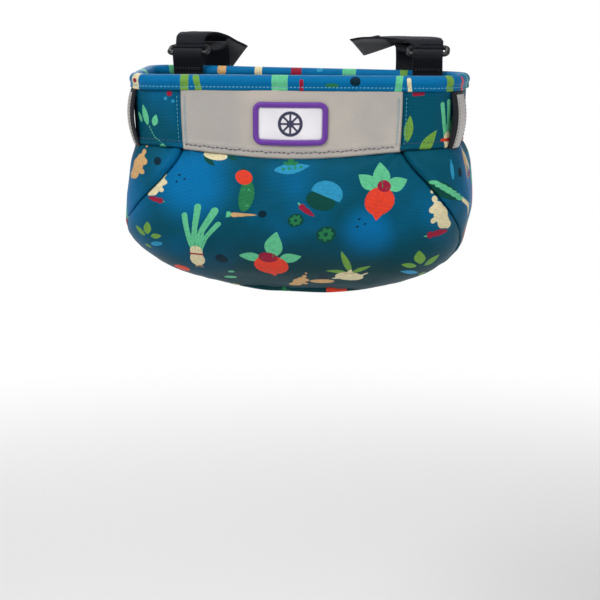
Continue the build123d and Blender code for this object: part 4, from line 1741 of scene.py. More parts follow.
    def foam(self, material: bpy.types.Material) -> bpy.types.Object:
        """The foam behind the band's front and sides."""
        far = self.shape.band_around - self.back_half - 6
        span = (-far, far, -18.5, self.shape.seam - 1.0)
        made = grid_piece("Band_foam", 320, 20, raised(self.wall(*span), lambda u, v: 0 * u - 1.3), self.flat(*span))
        thicken(made, 1.0)
        dress(made, material)
        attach(made, "bag")
        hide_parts("band_foam")
        return made

    def stitches(self) -> list[bpy.types.Object]:
        """The visible rows of stitches on the strip and the side walls."""
        shape, made = self.shape, []
        z = shape.seam - 1.6 + 4.0
        half = self.strip_half
        t = np.linspace(-1, 1, 500)
        wavy = z + 0.28 * np.sin(t * 90) + 0.2 * np.sin(t * 37)

        def row(s: Array, height: Array, out: float) -> tuple[Array, Array]:
            place = shape.band(s, height)
            ahead = shape.band(s + 0.5, height) - shape.band(s - 0.5, height)
            up = shape.band(s, height + 0.5) - shape.band(s, height - 0.5)
            normal = np.cross(ahead, up)
            normal /= np.linalg.norm(normal, axis=1, keepdims=True)
            return place + normal * out, normal

        made.append(bead_rows(
            "Strip_hem_stitches", [row(t * (half - 1.5), wavy, 2.05)], 3.1, 3.5, 0.34,
            self.navy_thread, "bag", slant=7,
        ))
        tall = np.linspace(self.top - 7.5, z - 1.5, 200)
        sides = [row(np.full_like(tall, sign * (half + 3.0)), tall, 0.95) for sign in (-1, 1)]
        sides += [row(np.full_like(tall, sign * (half - 3.0)), tall, 2.0) for sign in (-1, 1)]
        made.append(bead_rows(
            "Band_side_stitches", sides, 2.2, 3.0, 0.28, self.teal_thread, "bag",
        ))
        far = shape.band_around - self.back_half - 4
        low = np.linspace(half + 1, far, 500)
        rows = []
        for sign in (-1, 1):
            height = np.full_like(low, shape.seam - 0.8 + 5.0)
            rows.append(row(sign * low, height, 1.35))
        made.append(bead_rows(
            "Band_hem_stitches", rows, 2.3, 3.0, 0.28, self.navy_thread, "bag",
        ))
        return made


@dataclass
class Rim:
    """Bias binding folded over the hoop around the mouth, sewn through below it."""

    shape: BasketShape
    cloth: bpy.types.Material
    thread: bpy.types.Material
    radius: float = 4.15
    inset: float = 1.9
    centre_z: float = -10.0
    foot_z: float = -16.4
    inner_inset: float = 4.6

    def profile(self, t: Array) -> tuple[Array, Array]:
        """Offset outwards and height of the section, from the outer foot over the top to the inner foot."""
        foot, hem = self.foot_z, -self.inner_inset

        def roll(degrees: float) -> tuple[float, float]:
            """A point on the round of the roll."""
            a = math.radians(degrees)
            return -self.inset + self.radius * math.cos(a), self.centre_z + self.radius * math.sin(a)

        outer = [(1.15, foot), (1.75, foot + 0.5), (1.6, foot + 1.3), (1.2, foot + 2.1), (1.35, -13.1), roll(-33)]
        over = [roll(degrees) for degrees in range(-25, 206, 8)]
        inner = [(hem - 0.5, -13.2), (hem, foot + 2.1), (hem - 0.25, foot + 1.3), (hem, foot + 0.4), (hem + 0.6, foot)]
        line = eased_line(outer + over + inner, 0.35, 0.15)
        run = np.linspace(0, 1, len(line))
        return np.interp(t, run, line[:, 0]), np.interp(t, run, line[:, 1])

    def surface(self, u: Array, v: Array) -> Array:
        """Points by shares around the mouth and across the section."""
        shape = self.shape
        around = shape.band_around
        s = (2 * u - 1) * around
        out, z = self.profile(v)
        pucker = 0.22 * waves(s, v * 8, 6.5, 71) * np.exp(-((z + 14.4) / 2.2) ** 2)
        roll = 0.28 * waves(s, v * 30, 48, 72) + 0.12 * waves(s * 0.6 + v * 16, v * 25, 11, 73)
        return self.around_mouth(s, out + pucker + roll, z)

    def around_mouth(self, s: Array, grow: Array, z: Array) -> Array:
        """Points round the mouth by arc length, millimetres outwards and height."""
        shape = self.shape
        xy = outline(
            s, np.full_like(s, shape.half), np.full_like(s, shape.front),
            np.full_like(s, shape.back), np.full_like(s, shape.corner),
        )
        small = 0.4
        ahead = outline(s + small, *(np.full_like(s, k) for k in (shape.half, shape.front, shape.back, shape.corner)))
        behind = outline(s - small, *(np.full_like(s, k) for k in (shape.half, shape.front, shape.back, shape.corner)))
        way = ahead - behind
        way /= np.maximum(np.linalg.norm(way, axis=1, keepdims=True), 1e-9)
        edge = np.stack([xy[:, 0] + way[:, 1] * grow, xy[:, 1] - way[:, 0] * grow, z], axis=1)
        return shape.hang(edge, 0.05 * np.clip((shape.top - z) / 12, 0, 1))

    def binding(self) -> bpy.types.Object:
        """The binding itself."""
        around = self.shape.band_around

        def cloth(u: Array, v: Array) -> Array:
            return np.stack([(2 * u - 1) * around, (0.5 - v) * 36], axis=1)

        def block(s: float, wide: float, ink: Ink, low: float = -8, high: float = 22, lean: float = 0.0) -> Mark:
            return Mark(ink, stroke([(s, low), (s + lean, high)], [wide / 2, wide / 2]))

        back = around
        marks = [
            block(-8.5, 12.5, Ink.LEAF), block(-83, 6.5, Ink.OLIVE), block(-74, 5.0, Ink.OLIVE, 4, 20, 2.5),
            block(-124, 8.5, Ink.CREAM), Mark(Ink.CRIMSON, oval((-124, 9), 2.5, 2.0)),
            block(8.5, 3.2, Ink.CRIMSON, 8, 17), Mark(Ink.GREEN, oval((32, 12), 5.5, 2.2)),
            Mark(Ink.NAVY, oval((50, 8), 4.0, 4.6)), block(84, 5.4, Ink.LEAF, 3, 20, -1.5),
            block(91, 3.2, Ink.CREAM, 6, 20, 1), block(122, 6.0, Ink.OLIVE), block(138, 5.0, Ink.RED, 6, 16),
            block(-168, 8.0, Ink.LEAF), block(180, 8.0, Ink.LEAF), block(-150, 5, Ink.TAN, 4, 18),
            block(back - 34, 11.0, Ink.LEAF, -16, 16), block(-back + 9, 8.5, Ink.CRIMSON, -16, 6),
            block(-back + 70, 7.0, Ink.TAN), block(back - 78, 6.0, Ink.OLIVE), block(-back + 112, 9.0, Ink.LEAF),
            block(back - 10, 5, Ink.LIGHT_BLUE, -4, 16), block(-back + 40, 6, Ink.CREAM, -16, 10),
        ]
        piece = grid_piece("Rim_binding", 780, 60, self.surface, cloth, ink_fields(marks), closed=True)
        thicken(piece, 0.7)
        dress(piece, self.cloth)
        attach(piece, "bag")
        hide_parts("rim_binding")
        return piece

    def hoop(self, material: bpy.types.Material) -> bpy.types.Object:
        """The stiff hoop inside the binding."""

        def surface(u: Array, v: Array) -> Array:
            a = -v * math.tau
            out = -self.inset + 2.9 * np.cos(a)
            return self.around_mouth((2 * u - 1) * self.shape.band_around, out, self.centre_z + 2.9 * np.sin(a))

        piece = grid_piece("Rim_hoop", 420, 16, surface, lambda u, v: np.stack([u * 860, v * 18], axis=1), closed=True)
        dress(piece, material)
        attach(piece, "bag")
        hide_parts("rim_hoop")
        return piece

    def stitches(self) -> bpy.types.Object:
        """One row of stitches through the binding's outer foot and one through its inner foot."""
        shares = np.linspace(0, 1, 4000)
        heights = self.profile(shares)[1]
        top = int(np.argmax(heights))
        target = self.foot_z + 2.1
        outer = float(shares[np.argmin(np.abs(heights[:top] - target))])
        inner = float(shares[top + np.argmin(np.abs(heights[top:] - target))])
        rows = []
        for v, way in ((outer, 1.0), (inner, -1.0)):
            place, out = row_on(self.surface, (0.0, v), (1.0, v), 1500)
            out /= np.maximum(np.linalg.norm(out, axis=1, keepdims=True), 1e-9)
            away = (place - np.mean(place, axis=0)) * way
            out *= np.where(np.sum(out * away, axis=1, keepdims=True) < 0, -1.0, 1.0)
            rows.append((place + out * 0.78, out))
        return bead_rows("Rim_stitches", rows, 2.1, 2.9, 0.38, self.thread, "bag", slant=6)


@dataclass
class Lining:
    """The loose inner bag."""

    shape: BasketShape
    cloth: bpy.types.Material
    wall: float = 3.3
    top: float = -14.2

    def build(self) -> bpy.types.Object:
        """The lining's wall and floor as one closed-bottomed piece."""
        shape = self.shape
        band_share = 0.34

        def bare(u: Array, v: Array) -> Array:
            side = 2 * u - 1
            low = np.clip((v - band_share) / (1 - band_share), 0, 1)
            high = np.clip(v / band_share, 0, 1)
            q = low * 0.995
            upper = shape.band(side * shape.band_around, self.top + high * (shape.seam - self.top))
            return np.where((v < band_share)[:, None], upper, shape.pouch(side * shape.around(q), q))

        def relief(u: Array, v: Array) -> Array:
            loose = ease((v - 0.25) / 0.2) * (1 - ease((v - 0.93) / 0.07))
            folds = 1.6 * waves(u * 860, v * 60, 62, 81) + 0.9 * waves(u * 860, v * 200, 30, 82)
            return -self.wall - loose * (1.6 + np.abs(folds)) - 0.8 * ease((v - 0.9) / 0.1)

        def cloth(u: Array, v: Array) -> Array:
            return np.stack([(2 * u - 1) * shape.band_around, -v * 200], axis=1)

        piece = grid_piece("Lining", 420, 110, raised(bare, relief), cloth, closed=True)
        thicken(piece, 0.5)
        dress(piece, self.cloth)
        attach(piece, "bag")
        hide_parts("lining")
        return piece


@dataclass
class Patch:
    """The sewn patch: woven face, overlocked border and a plain wheel."""

    face_cloth: bpy.types.Material
    border_thread: bpy.types.Material
    emblem_thread: bpy.types.Material
    shape: BasketShape
    corner: float = 6.5
    lift: float = 2.3
    middle: float = -37.1

    def build(self) -> list[bpy.types.Object]:
        """Make the face, the border's threads and the wheel."""
        (x0, _, z0), (x1, _, z1) = box_mm("patch_border")
        self.wide, self.tall = x1 - x0, z1 - z0
        return [self._face(), self._border(), self._spikes(), self._wheel()]

    def on_front(self, x: Array, z: Array, out: Array) -> Array:
        """Points over the strip by place on it and millimetres out."""
        stretch = 1 + self.shape.dip / (self.shape.top - self.shape.seam)
        base = self.shape.band(x / (1 - self.shape.draw), z / stretch + self.middle)
        return base - np.stack([0 * x, self.lift + out, 0 * x], axis=1)

    def _edge(self, share: Array, inset: float) -> Array:
        """X and Z on the patch's rounded outline, moved inwards, clockwise from its upper left."""
        r = self.corner - inset
        w, h, turn = self.wide / 2 - inset - r, self.tall / 2 - inset - r, r * math.pi / 2
        t = (share % 1.0) * (4 * w + 4 * h + 4 * turn)
        x, z = np.full_like(t, -w), np.full_like(t, h + r)
        for k, leg in enumerate((2 * w, 2 * h, 2 * w, 2 * h)):
            a = -k * math.pi / 2
            flat = np.clip(t, 0, leg)
            bend = np.clip(t - leg, 0, turn) / r
            ahead, side = flat + r * np.sin(bend), -r * (1 - np.cos(bend))
            x = x + ahead * math.cos(a) - side * math.sin(a)
            z = z + ahead * math.sin(a) + side * math.cos(a)
            t = t - leg - turn
        return np.stack([x, z], axis=1)

    def _dress(self, piece: bpy.types.Object, material: bpy.types.Material, node: str) -> bpy.types.Object:
        """Give a piece of the patch its material, hang it on the bag and hide the CAD node that it replaces."""
        dress(piece, material)
        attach(piece, "bag")
        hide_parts(node)
        return piece

    def _face(self) -> bpy.types.Object:
        """The woven face, slightly crowned."""
        w, h = self.wide / 2 - 2.6, self.tall / 2 - 2.6

        def surface(u: Array, v: Array) -> Array:
            x, z = (2 * u - 1), (1 - 2 * v)
            squeeze = 1 - 0.05 * np.abs(x * z) ** 3
            crown = 0.45 * (1 - x**4) * (1 - z**4)
            return self.on_front(x * w * squeeze, z * h * squeeze, crown)

        piece = grid_piece("Patch_face", 90, 50, surface, lambda u, v: np.stack([u * 2 * w, -v * 2 * h], axis=1))
        thicken(piece, 0.6)
        return self._dress(piece, self.face_cloth, "patch_face")

    def _border(self) -> bpy.types.Object:
        """The overlocked border: a round roll wound with slanting thread."""
        turns = 190

        def surface(u: Array, v: Array) -> Array:
            angle = -v * math.tau
            ridge = 0.16 * np.abs(np.sin(math.pi * (u * turns + 0.8 * v))) ** 0.7
            out, up = (1.95 + ridge) * np.cos(angle), (1.15 + ridge) * np.sin(angle)
            at, small = self._edge(u, 2.1), self._edge(u + 1e-3, 2.1) - self._edge(u - 1e-3, 2.1)
            small /= np.maximum(np.linalg.norm(small, axis=1, keepdims=True), 1e-9)
            return self.on_front(at[:, 0] - small[:, 1] * out, at[:, 1] + small[:, 0] * out, 0.45 + up)

        piece = grid_piece(
            "Patch_border", turns * 5, 14, surface, lambda u, v: np.stack([u * 170, v * 12], axis=1), closed=True
        )
        return self._dress(piece, self.border_thread, "patch_border")

    def _row(self, at: Array, out: float) -> tuple[Array, Array]:
        """A row of stitches over the patch by x and z."""
        place = self.on_front(at[:, 0], at[:, 1], np.full(len(at), out))
        return place, np.tile(np.array([0.0, -1.0, 0.0]), (len(at), 1))

    def _spikes(self) -> bpy.types.Object:
        """The border's thread ends that bite into the face."""
        row = self._row(self._edge(np.linspace(0, 1, 400), 4.2), 0.35)
        return bead_rows(
            "Patch_border_threads", [row], 1.9, 1.8, 0.3, self.border_thread, "bag", slant=90
        )

    def _wheel(self) -> bpy.types.Object:
        """A plain eight-spoked wheel in raised thread."""
        t, s = np.linspace(0, math.tau, 120), np.linspace(0, 1, 60)
        rows = [
            self._row(radius * np.stack([np.cos(t), np.sin(t)], axis=1), 0.5)
            for radius in (8.9, 8.3, 7.7, 2.3, 1.7, 1.1, 0.5)
        ]
        for k in range(8):
            a = math.pi * k / 4
            reach = 2.0 + s * 5.8
            for off in (-0.24, 0.24):
                x = reach * math.cos(a) - off * math.sin(a)
                z = reach * math.sin(a) + off * math.cos(a)
                rows.append(self._row(np.stack([x, z], axis=1), 0.5))
        piece = bead_rows("Patch_wheel", rows, 1.4, 0.55, 0.36, self.emblem_thread, "bag", slant=62)
        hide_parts("patch_emblem")
        return piece


@dataclass
class LightLoop:
    """A webbing loop on the front corner, with reflective tape down its face."""

    shape: BasketShape
    webbing: bpy.types.Material
    tape: bpy.types.Material
    thread: bpy.types.Material
    rear: float = 6.0
    middle_z: float = -39.4
    arc_r: float = 66.0
    gap: float = 4.0
    half_arc: float = 19.9
    tape_half_arc: float = 17.4
    width: float = 24.0
    tape_width: float = 15.0
    thickness: float = 1.4

    def point(self, side: str, across: Array, along: Array, out: Array) -> Array:
        """Points by millimetres across to the back, degrees along the loop's arc and millimetres out."""
        sign, corner = SIDES[side], self.shape.corner
        bow = corner + self.gap + self.thickness / 2 - self.arc_r
        phi = np.radians(along)
        rho = bow + (self.arc_r + out) * np.cos(phi)
        z = self.middle_z + (self.arc_r + out) * np.sin(phi)
        way = across + self.rear - self.width / 2
        turn = np.minimum(way, 0.0) / corner
        low = np.clip((self.shape.top - z) / (self.shape.top - self.shape.seam), 0, 1.1)
        x = (self.shape.half - corner) + rho * np.cos(turn) - self.shape.taper * low**2
        y = self.shape.front + corner + rho * np.sin(turn) + np.maximum(way, 0.0)
        return np.stack([self.shape.drawn_in(sign * x, y, np.maximum(z, self.shape.seam)), y, z], axis=1)

    def build(self, side: str) -> list[bpy.types.Object]:
        """Make one loop, its tape and its stitches."""
        made = [
            self._strip(side, "light_loop", self.width, self.half_arc, self.thickness, 0.0, self.webbing),
            self._strip(side, "loop_tape", self.tape_width, self.tape_half_arc, 0.5, 0.9, self.tape),
        ]
        rows = []
        t = np.linspace(0, 1, 60)
        for end in (-19.0, -18.4, 19.0, 18.4):
            for_out = self.point(side, (t - 0.5) * 19, np.full(60, end), np.full(60, self.thickness / 2 + 0.1))
            base = self.point(side, (t - 0.5) * 19, np.full(60, end), np.full(60, 0.0))
            rows.append((for_out, for_out - base))
        edge = np.linspace(-16.8, 16.8, 160)
        for way in (-1, 1):
            place = self.point(side, np.full(160, way * (self.tape_width / 2 - 1.0)), edge, np.full(160, 1.2))
            base = self.point(side, np.full(160, way * (self.tape_width / 2 - 1.0)), edge, np.full(160, 0.0))
            rows.append((place, place - base))
        made.append(bead_rows(
            f"{side.capitalize()}_loop_stitches", rows, 2.1, 2.7, 0.26, self.thread, "bag",
        ))
        return made

    def _strip(
        self, side: str, node: str, width: float, half_arc: float, thickness: float, out: float,
        material: bpy.types.Material,
    ) -> bpy.types.Object:
        """One bowed strip with rounded edges."""
        length = math.radians(2 * half_arc) * self.arc_r
        ribbon = Ribbon(np.array([[0.0, 0.0], [0.0, length]]), lambda s: 0 * s, width, thickness)
        sign = SIDES[side]

        def surface(u: Array, v: Array) -> Array:
            across, rise = ribbon.section(u)
            end = np.clip(np.minimum(v, 1 - v) * length / (0.5 * thickness), 0, 1)
            lift = rise * np.sqrt(np.maximum(1 - (1 - end) ** 2, 0)) + out
            return self.point(side, sign * across, half_arc * (1 - 2 * v), lift)

        def cloth(u: Array, v: Array) -> Array:
            return np.stack([ribbon.section(u)[0], v * length], axis=1)

        piece = grid_piece(f"{side.capitalize()}_{node}", 60, 64, surface, cloth, closed=True)
        dress(piece, material)
        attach(piece, "bag")
        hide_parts(f"{side}_{node}")
        return piece


@dataclass
class BarStrap:
    """One hook-and-loop strap: sewn to the back, round the bar, through the ring and back over itself."""

    webbing: bpy.types.Material
    loop_pile: bpy.types.Material
    hook_pile: bpy.types.Material
    thread: bpy.types.Material
    width: float = 24.0
    thickness: float = 1.6
    bar_r: float = 12.7
    wrap_x: float = 81.0
    ring_x: float = 97.0
    pivot: tuple[float, float] = (-28.2, 6.5)
    reach: float = 14.0
    tilt: float = 20.0
    fold_r: float = 3.0
    fold_end: float = 148.0
    back_y: float = -17.5
    sewn_top: float = -24.0
    sewn_foot: float = -60.0
    under_r: float = 6.0
    left_tip_x: float = 61.0
    right_tip_x: float = 36.0
    left_slant: float = 1.6
    right_slant: float = 1.15
    hook_length: float = 13.0

    def __post_init__(self) -> None:
        """Find the ring's upper bar."""
        a = math.radians(self.tilt)
        self.head = (self.pivot[0] + self.reach * math.cos(a), self.pivot[1] + self.reach * math.sin(a))

    def build(self, side: str) -> list[bpy.types.Object]:
        """Make one side's strap, tail, pads, tab and stitches."""
        label = side.capitalize()
        wrap = self._wrap(side)
        body = wrap.build(f"{label}_strap", self.webbing, "webbing", None)
        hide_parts(f"{side}_bar_strap", f"{side}_strap_fold")
        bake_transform(body)
        tail_ribbon = self._tail(side)
        tail = tail_ribbon.build(f"{label}_tail", self.webbing, "webbing", None)
        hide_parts(f"{side}_strap_tail")
        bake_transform(tail)
        rest = [self._hook_pad(side, tail_ribbon), self._loop_pad(side), self._tab(side)]
        return [body, tail, *rest, *self._stitches(side, wrap)]

    def _wrap(self, side: str) -> Ribbon:
        """The stretch from the back panel round the bar and round the ring's upper bar."""
        sign, mid = SIDES[side], self.bar_r + self.thickness / 2
        anchor = self.back_y + self.thickness / 2
        down = (anchor + self.under_r, self.sewn_top)
        top_leave, top_meet, top_angle = crossed_tangent((0, 0), mid, self.head, self.fold_r, -1)
        low_leave, low_meet, low_angle = crossed_tangent((0, 0), mid, down, self.under_r, 1)
        points = [(anchor, self.sewn_foot), (anchor, self.sewn_top)]
        points += arc(down, self.under_r, 180, low_angle + 180) + [low_meet, low_leave]
        points += arc((0, 0), mid, low_angle, top_angle) + [top_leave, top_meet]
        points += arc(self.head, self.fold_r, top_angle + 180, self.fold_end)
        line = eased_line(points, 0.5, 0.3)
        run = np.concatenate([[0.0], np.cumsum(np.linalg.norm(np.diff(line, axis=0), axis=1))])
        top = np.argmin(np.hypot(line[:, 0] - top_leave[0], line[:, 1] - top_leave[1]))
        near = np.argmin(np.hypot(line[:, 0] - top_meet[0], line[:, 1] - top_meet[1]))
        a, b = run[top] - 2.0, run[near] - 1.0

        def centre(s: Array) -> Array:
            return sign * (self.wrap_x + (self.ring_x - self.wrap_x) * ease((s - a) / (b - a)))

        return Ribbon(line, centre, self.width, self.thickness, wander=0.12, seed=91 + int(sign))

    def _tail(self, side: str) -> Ribbon:
        """The loose end: up from the ring in an arch, then down behind the bar at a slant."""
        sign = SIDES[side]
        points = arc(self.head, self.fold_r, self.fold_end, 138)
        if sign < 0:
            points += [(-16.6, 16.6), (-13.6, 20.4), (-8.5, 22.6), (-2.4, 22.5), (4.0, 20.2)]
            points += arc((0, 0), 17.2, 58, 8)
        else:
            points += [(-16.6, 15.2), (-13.4, 17.4), (-8.0, 18.4), (-1.0, 19.2)]
            points += [(6.0, 18.6), (12.5, 15.4), (18.0, 10.4)]
        line = eased_line(points, 1.5, 0.3)
        line[:6] = eased_line(points, 0.3, 0.3)[:6]
        run = np.concatenate([[0.0], np.cumsum(np.linalg.norm(np.diff(line, axis=0), axis=1))])
        tip_x, slant = (self.left_tip_x, self.left_slant) if sign < 0 else (self.right_tip_x, self.right_slant)

        def centre(s: Array) -> Array:
            share = np.clip((s - 5.5) / (run[-1] - 5.5), 0, 1.2)
            return sign * (self.ring_x + (tip_x - self.ring_x) * share**slant)

        return Ribbon(line, centre, self.width, self.thickness, cup=-0.5, wander=0.25, seed=95 + int(sign))

    def _hook_pad(self, side: str, tail: Ribbon) -> bpy.types.Object:
        """The hook pad under the tail's end."""
        span = tail.run[-1]
        first = np.searchsorted(tail.run, span - self.hook_length)
        normal = np.gradient(tail.line[first:], axis=0)
        normal /= np.linalg.norm(normal, axis=1, keepdims=True)
        line = tail.line[first:] + np.stack([normal[:, 1], -normal[:, 0]], axis=1) * (self.thickness / 2 + 0.3)
        offset = tail.run[first]
        pad = Ribbon(line, lambda s: tail.centre(s + offset), self.width - 3.0, 0.7)
        piece = pad.build(f"{side.capitalize()}_hook_pad", self.hook_pile, "hook_pile", f"{side}_tail")
        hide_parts(f"{side}_hook_pad")
        return piece

    def _loop_pad(self, side: str) -> bpy.types.Object:
        """The loop pad on the strap behind the bar."""
        line = eased_line(arc((0, 0), self.bar_r + self.thickness + 0.4, -30, 80), 0.5, 0.4)
        pad = Ribbon(line, lambda s: 0 * s + SIDES[side] * self.wrap_x, self.width - 2.0, 0.8)
        piece = pad.build(f"{side.capitalize()}_loop_pad", self.loop_pile, "loop_pile", "bag")
        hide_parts(f"{side}_loop_pad")
        return piece

    def _tab(self, side: str) -> bpy.types.Object:
        """The tab round the ring's lower bar, doubled and sewn inside the back."""
        y, z = self.pivot
        r = 2.95
        rear, front = y + r, y - r
        points = [(-22.1, -50.0), (-22.1, -28.0), (rear, -20.0), (rear, z)] + arc(self.pivot, r, 0, 180)
        points += [(front, z), (front, z - 3.0), (rear - 1.55, -9.0)]
        points += [(rear - 1.55, -20.0), (-23.65, -28.0), (-23.65, -50.0)]
        line = eased_line(points, 0.7, 0.3)
        tab = Ribbon(line, lambda s: 0 * s + SIDES[side] * self.ring_x, self.width, 1.5, wander=0.08, seed=88)
        piece = tab.build(f"{side.capitalize()}_ring_tab", self.webbing, "webbing", "bag")
        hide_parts(f"{side}_ring_tab")
        return piece

    def _stitches(self, side: str, wrap: Ribbon) -> list[bpy.types.Object]:
        """A crossed box on the sewn-down end and a bar of stitches on the tab."""
        half, low, high = self.width / 2 - 3.0, 3.0, 30.0
        corners = [(-half, low), (half, low), (half, high), (-half, high), (-half, low), (half, high)]
        cross = [(half, low), (-half, high)]
        rows = []
        for path in (corners, cross):
            line = eased_line(path, 0.2, 0.4)
            out = np.full(len(line), -(self.thickness / 2 + 0.12))
            place = wrap.point(line[:, 0], line[:, 1], out)
            base = wrap.point(line[:, 0], line[:, 1], 0 * out)
            rows.append((place, place - base))
        label = side.capitalize()
        box = bead_rows(f"{label}_strap_stitches", rows, 2.3, 2.9, 0.28, self.thread, "bag")
        t = np.linspace(-0.5, 0.5, 60)
        bars = []
        for z in (-5.2, -6.4, -13.0):
            x = SIDES[side] * self.ring_x + t * (self.width - 3)
            y = np.full(60, self.pivot[0] + 2.95 - 1.55 - 0.9)
            if z > -9:
                y = y - 1.55 * (z + 9.0) / 3.0
            bars.append((np.stack([x, y, np.full(60, z)], axis=1), np.tile(np.array([0.0, -1.0, 0.0]), (60, 1))))
        return [box, bead_rows(f"{label}_tab_stitches", bars, 2.2, 2.6, 0.28, self.thread, "bag")]


# ---------------------------------------------------------------- the studio


@dataclass(frozen=True)
class Lamp:
    """One soft area light."""

    name: str
    place: tuple[float, float, float]
    size: float
    power: float
    tint: tuple[float, float, float] = (1.0, 1.0, 1.0)


@dataclass
class Studio:
    """Pale floor, soft lights and the camera."""

    middle: tuple[float, float, float] = (0.000, -0.072, -0.080)
    floor_z: float = -0.62
    distance: float = 1.30
    azimuth: float = 7.0
    elevation: float = 6.3
    view_width: float = 0.474
    up_shift: float = 0.1067
    lamps: tuple[Lamp, ...] = (
        Lamp("Key", (-0.85, -1.25, 1.05), 0.7, 21.0),
        Lamp("Fill", (1.35, -1.0, 0.45), 0.9, 9.0),
        Lamp("Top", (0.1, -0.2, 1.3), 0.8, 9.0),
        Lamp("Back", (-0.5, 1.4, 0.7), 0.9, 8.0),
    )

    def build(self) -> None:
        """Make the floor, the lights, the world and the camera."""
        self._floor()
        for lamp in self.lamps:
            self._lamp(lamp)
        self._world()
        self._camera()
        bpy.context.scene.view_settings.view_transform = "Standard"

    def _floor(self) -> None:
        """A wide pale floor that fades into the light background."""
        bm = bmesh.new()
        bmesh.ops.create_circle(bm, cap_ends=True, segments=96, radius=7.0)
        bmesh.ops.translate(bm, verts=bm.verts, vec=(0, 0, self.floor_z))
        mesh = bpy.data.meshes.new("Floor")
        bm.to_mesh(mesh)
        bm.free()
        floor = new_object("Floor", mesh)
        material, g, shader = start_material("Pale floor")
        shader.inputs["Base Color"].default_value = (0.86, 0.86, 0.86, 1)
        shader.inputs["Roughness"].default_value = 0.8
        spread = g.node("ShaderNodeVectorMath", operation="LENGTH")
        g.feed(spread.inputs[0], body_place(g))
        glow = g.node("ShaderNodeEmission")
        glow.inputs["Strength"].default_value = 1.0
        blend = g.node("ShaderNodeMixShader")
        g.feed(blend.inputs[0], g.span(spread.outputs["Value"], 0.75, 1.7))
        g.feed(blend.inputs[1], shader.outputs[0])
        g.feed(blend.inputs[2], glow.outputs[0])
        g.feed(g.tree.nodes["Material Output"].inputs["Surface"], blend.outputs[0])
        mesh.materials.append(material)

    def _lamp(self, lamp: Lamp) -> None:
        """One square area light, aimed at the basket."""
        data = bpy.data.lights.new(lamp.name, "AREA")
        data.size, data.energy, data.color = lamp.size, lamp.power, lamp.tint
        thing = bpy.data.objects.new(lamp.name, data)
        thing.location = lamp.place
        aim = Vector(self.middle) - Vector(lamp.place)
        thing.rotation_euler = aim.to_track_quat("-Z", "Y").to_euler()
        bpy.context.scene.collection.objects.link(thing)

    def _world(self) -> None:
        """Even pale surroundings, white where the camera sees them."""
        world = bpy.data.worlds.new("Studio")
        world.use_nodes = True
        g = Graph(world.node_tree)
        seen = g.node("ShaderNodeBackground")
        seen.inputs["Color"].default_value = (1, 1, 1, 1)
        soft = g.tree.nodes["Background"]
        soft.inputs["Color"].default_value = (1, 1, 1, 1)
        soft.inputs["Strength"].default_value = 0.26
        blend = g.node("ShaderNodeMixShader")
        g.feed(blend.inputs[0], g.node("ShaderNodeLightPath").outputs["Is Camera Ray"])
        g.feed(blend.inputs[1], soft.outputs[0])
        g.feed(blend.inputs[2], seen.outputs[0])
        g.feed(g.tree.nodes["World Output"].inputs["Surface"], blend.outputs[0])
        bpy.context.scene.world = world

    def _camera(self) -> None:
        """A long lens a little above the rim, a little to the right."""
        turn, rise = math.radians(self.azimuth), math.radians(self.elevation)
        away = Vector((math.sin(turn) * math.cos(rise), -math.cos(turn) * math.cos(rise), math.sin(rise)))
        place = Vector(self.middle) + away * self.distance
        target = Vector(self.middle) - Vector((0, 0, self.up_shift))
        data = bpy.data.cameras.new("Camera")
        data.sensor_width = 36.0
        data.lens = 36.0 * self.distance / self.view_width
        thing = bpy.data.objects.new("Camera", data)
        thing.location = place
        thing.rotation_euler = (target - place).to_track_quat("-Z", "Y").to_euler()
        bpy.context.scene.collection.objects.link(thing)
        bpy.context.scene.camera = thing


# ---------------------------------------------------------------- the whole basket


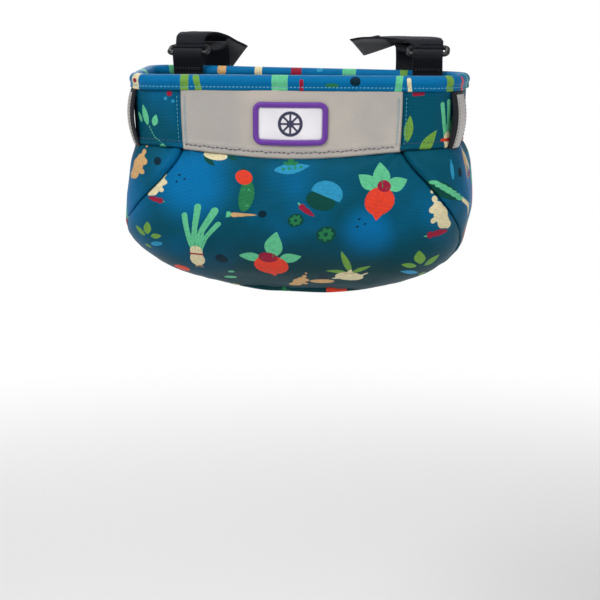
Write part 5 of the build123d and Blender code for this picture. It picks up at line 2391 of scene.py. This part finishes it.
@dataclass
class Finishes:
    """Every material of the basket."""

    weaves: Weaves = field(default_factory=Weaves)

    def __post_init__(self) -> None:
        """Build the materials once."""
        w = self.weaves
        self.printed = PrintedCloth().material(w)
        self.coated = ReflectiveCloth().material(w, "Coated reflective cloth")
        self.tape = ReflectiveCloth((0.46, 0.44, 0.42), (0.36, 0.345, 0.33)).material(w, "Reflective tape")
        self.webbing = BlackWebbing().material(w)
        self.loop_pile = Pile((0.010, 0.010, 0.013), 900.0, 0.0004).material("Loop pile")
        self.hook_pile = Pile((0.012, 0.012, 0.014), 1500.0, 0.0003).material("Hook pile")
        self.plastic = MouldedPlastic().material(w, "Ring plastic")
        self.hoop = MouldedPlastic((0.35, 0.34, 0.32)).material(w, "Hoop plastic")
        self.board = MouldedPlastic((0.05, 0.05, 0.055)).material(w, "Stiffening board")
        self.foam = Pile((0.16, 0.16, 0.165), 1400.0, 0.0002).material("Foam")
        self.lining = PlainCloth((0.020, 0.024, 0.034)).material(w, "Lining cloth")
        self.patch_cloth = PlainCloth((0.80, 0.78, 0.82), 0.42).material(w, "Patch cloth")
        self.teal_thread = Thread((0.06, 0.40, 0.60)).material("Teal thread")
        self.pale_thread = Thread((0.12, 0.42, 0.60)).material("Pale thread")
        self.navy_thread = Thread((0.020, 0.022, 0.075)).material("Navy thread")
        self.black_thread = Thread((0.02, 0.02, 0.024)).material("Black thread")
        self.purple_thread = Thread((0.125, 0.010, 0.330)).material("Purple thread")

    def on_nodes(self) -> None:
        """Dress the CAD nodes that stay as they are."""
        for side in SIDES:
            self._on(f"{side}_ring", self.plastic)
        self._on("back_board", self.board)

    def _on(self, node: str, material: bpy.types.Material) -> None:
        """Give one CAD node a material."""
        thing = bpy.data.objects[node]
        thing.data.materials.clear()
        thing.data.materials.append(material)


def report(pieces: Iterable[bpy.types.Object]) -> None:
    """Log each piece with its number of faces."""
    for piece in pieces:
        LOG.info("%s: %d faces", piece.name, len(piece.data.polygons))


def main() -> None:
    """Load the frame, build every piece and report it."""
    logging.basicConfig(level=logging.INFO, format="%(message)s")
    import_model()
    finishes = Finishes()
    strip_top = box_mm("reflective_strip")[1][2]
    band_low, band_high = box_mm("left_band")
    shape = BasketShape(
        half=-band_low[0],
        front=MOUTH_FRONT,
        back=band_high[1],
        corner=MOUTH_CORNER,
        top=strip_top,
        seam=SEAM_Z,
        keel_z=box_mm("bottom_panel")[0][2] - KEEL_SAG,
    )
    Studio().build()
    body = Body(shape, finishes.weaves, finishes.printed)
    report([body.front(), body.gusset("left"), body.gusset("right"), body.back(), body.keel()])
    band = Band(shape, finishes.printed, finishes.coated, finishes.teal_thread, finishes.navy_thread)
    report([band.side("left"), band.side("right"), band.back(), band.strip()])
    report([band.foam(finishes.foam), *band.stitches()])
    rim = Rim(shape, finishes.printed, finishes.pale_thread)
    report([rim.binding(), rim.hoop(finishes.hoop), rim.stitches(), Lining(shape, finishes.lining).build()])
    report(Patch(finishes.patch_cloth, finishes.purple_thread, finishes.navy_thread, shape).build())
    loop = LightLoop(shape, finishes.webbing, finishes.tape, finishes.black_thread)
    strap = BarStrap(finishes.webbing, finishes.loop_pile, finishes.hook_pile, finishes.black_thread)
    for side in SIDES:
        report(loop.build(side) + strap.build(side))
    finishes.on_nodes()


if __name__ == "__main__":
    main()
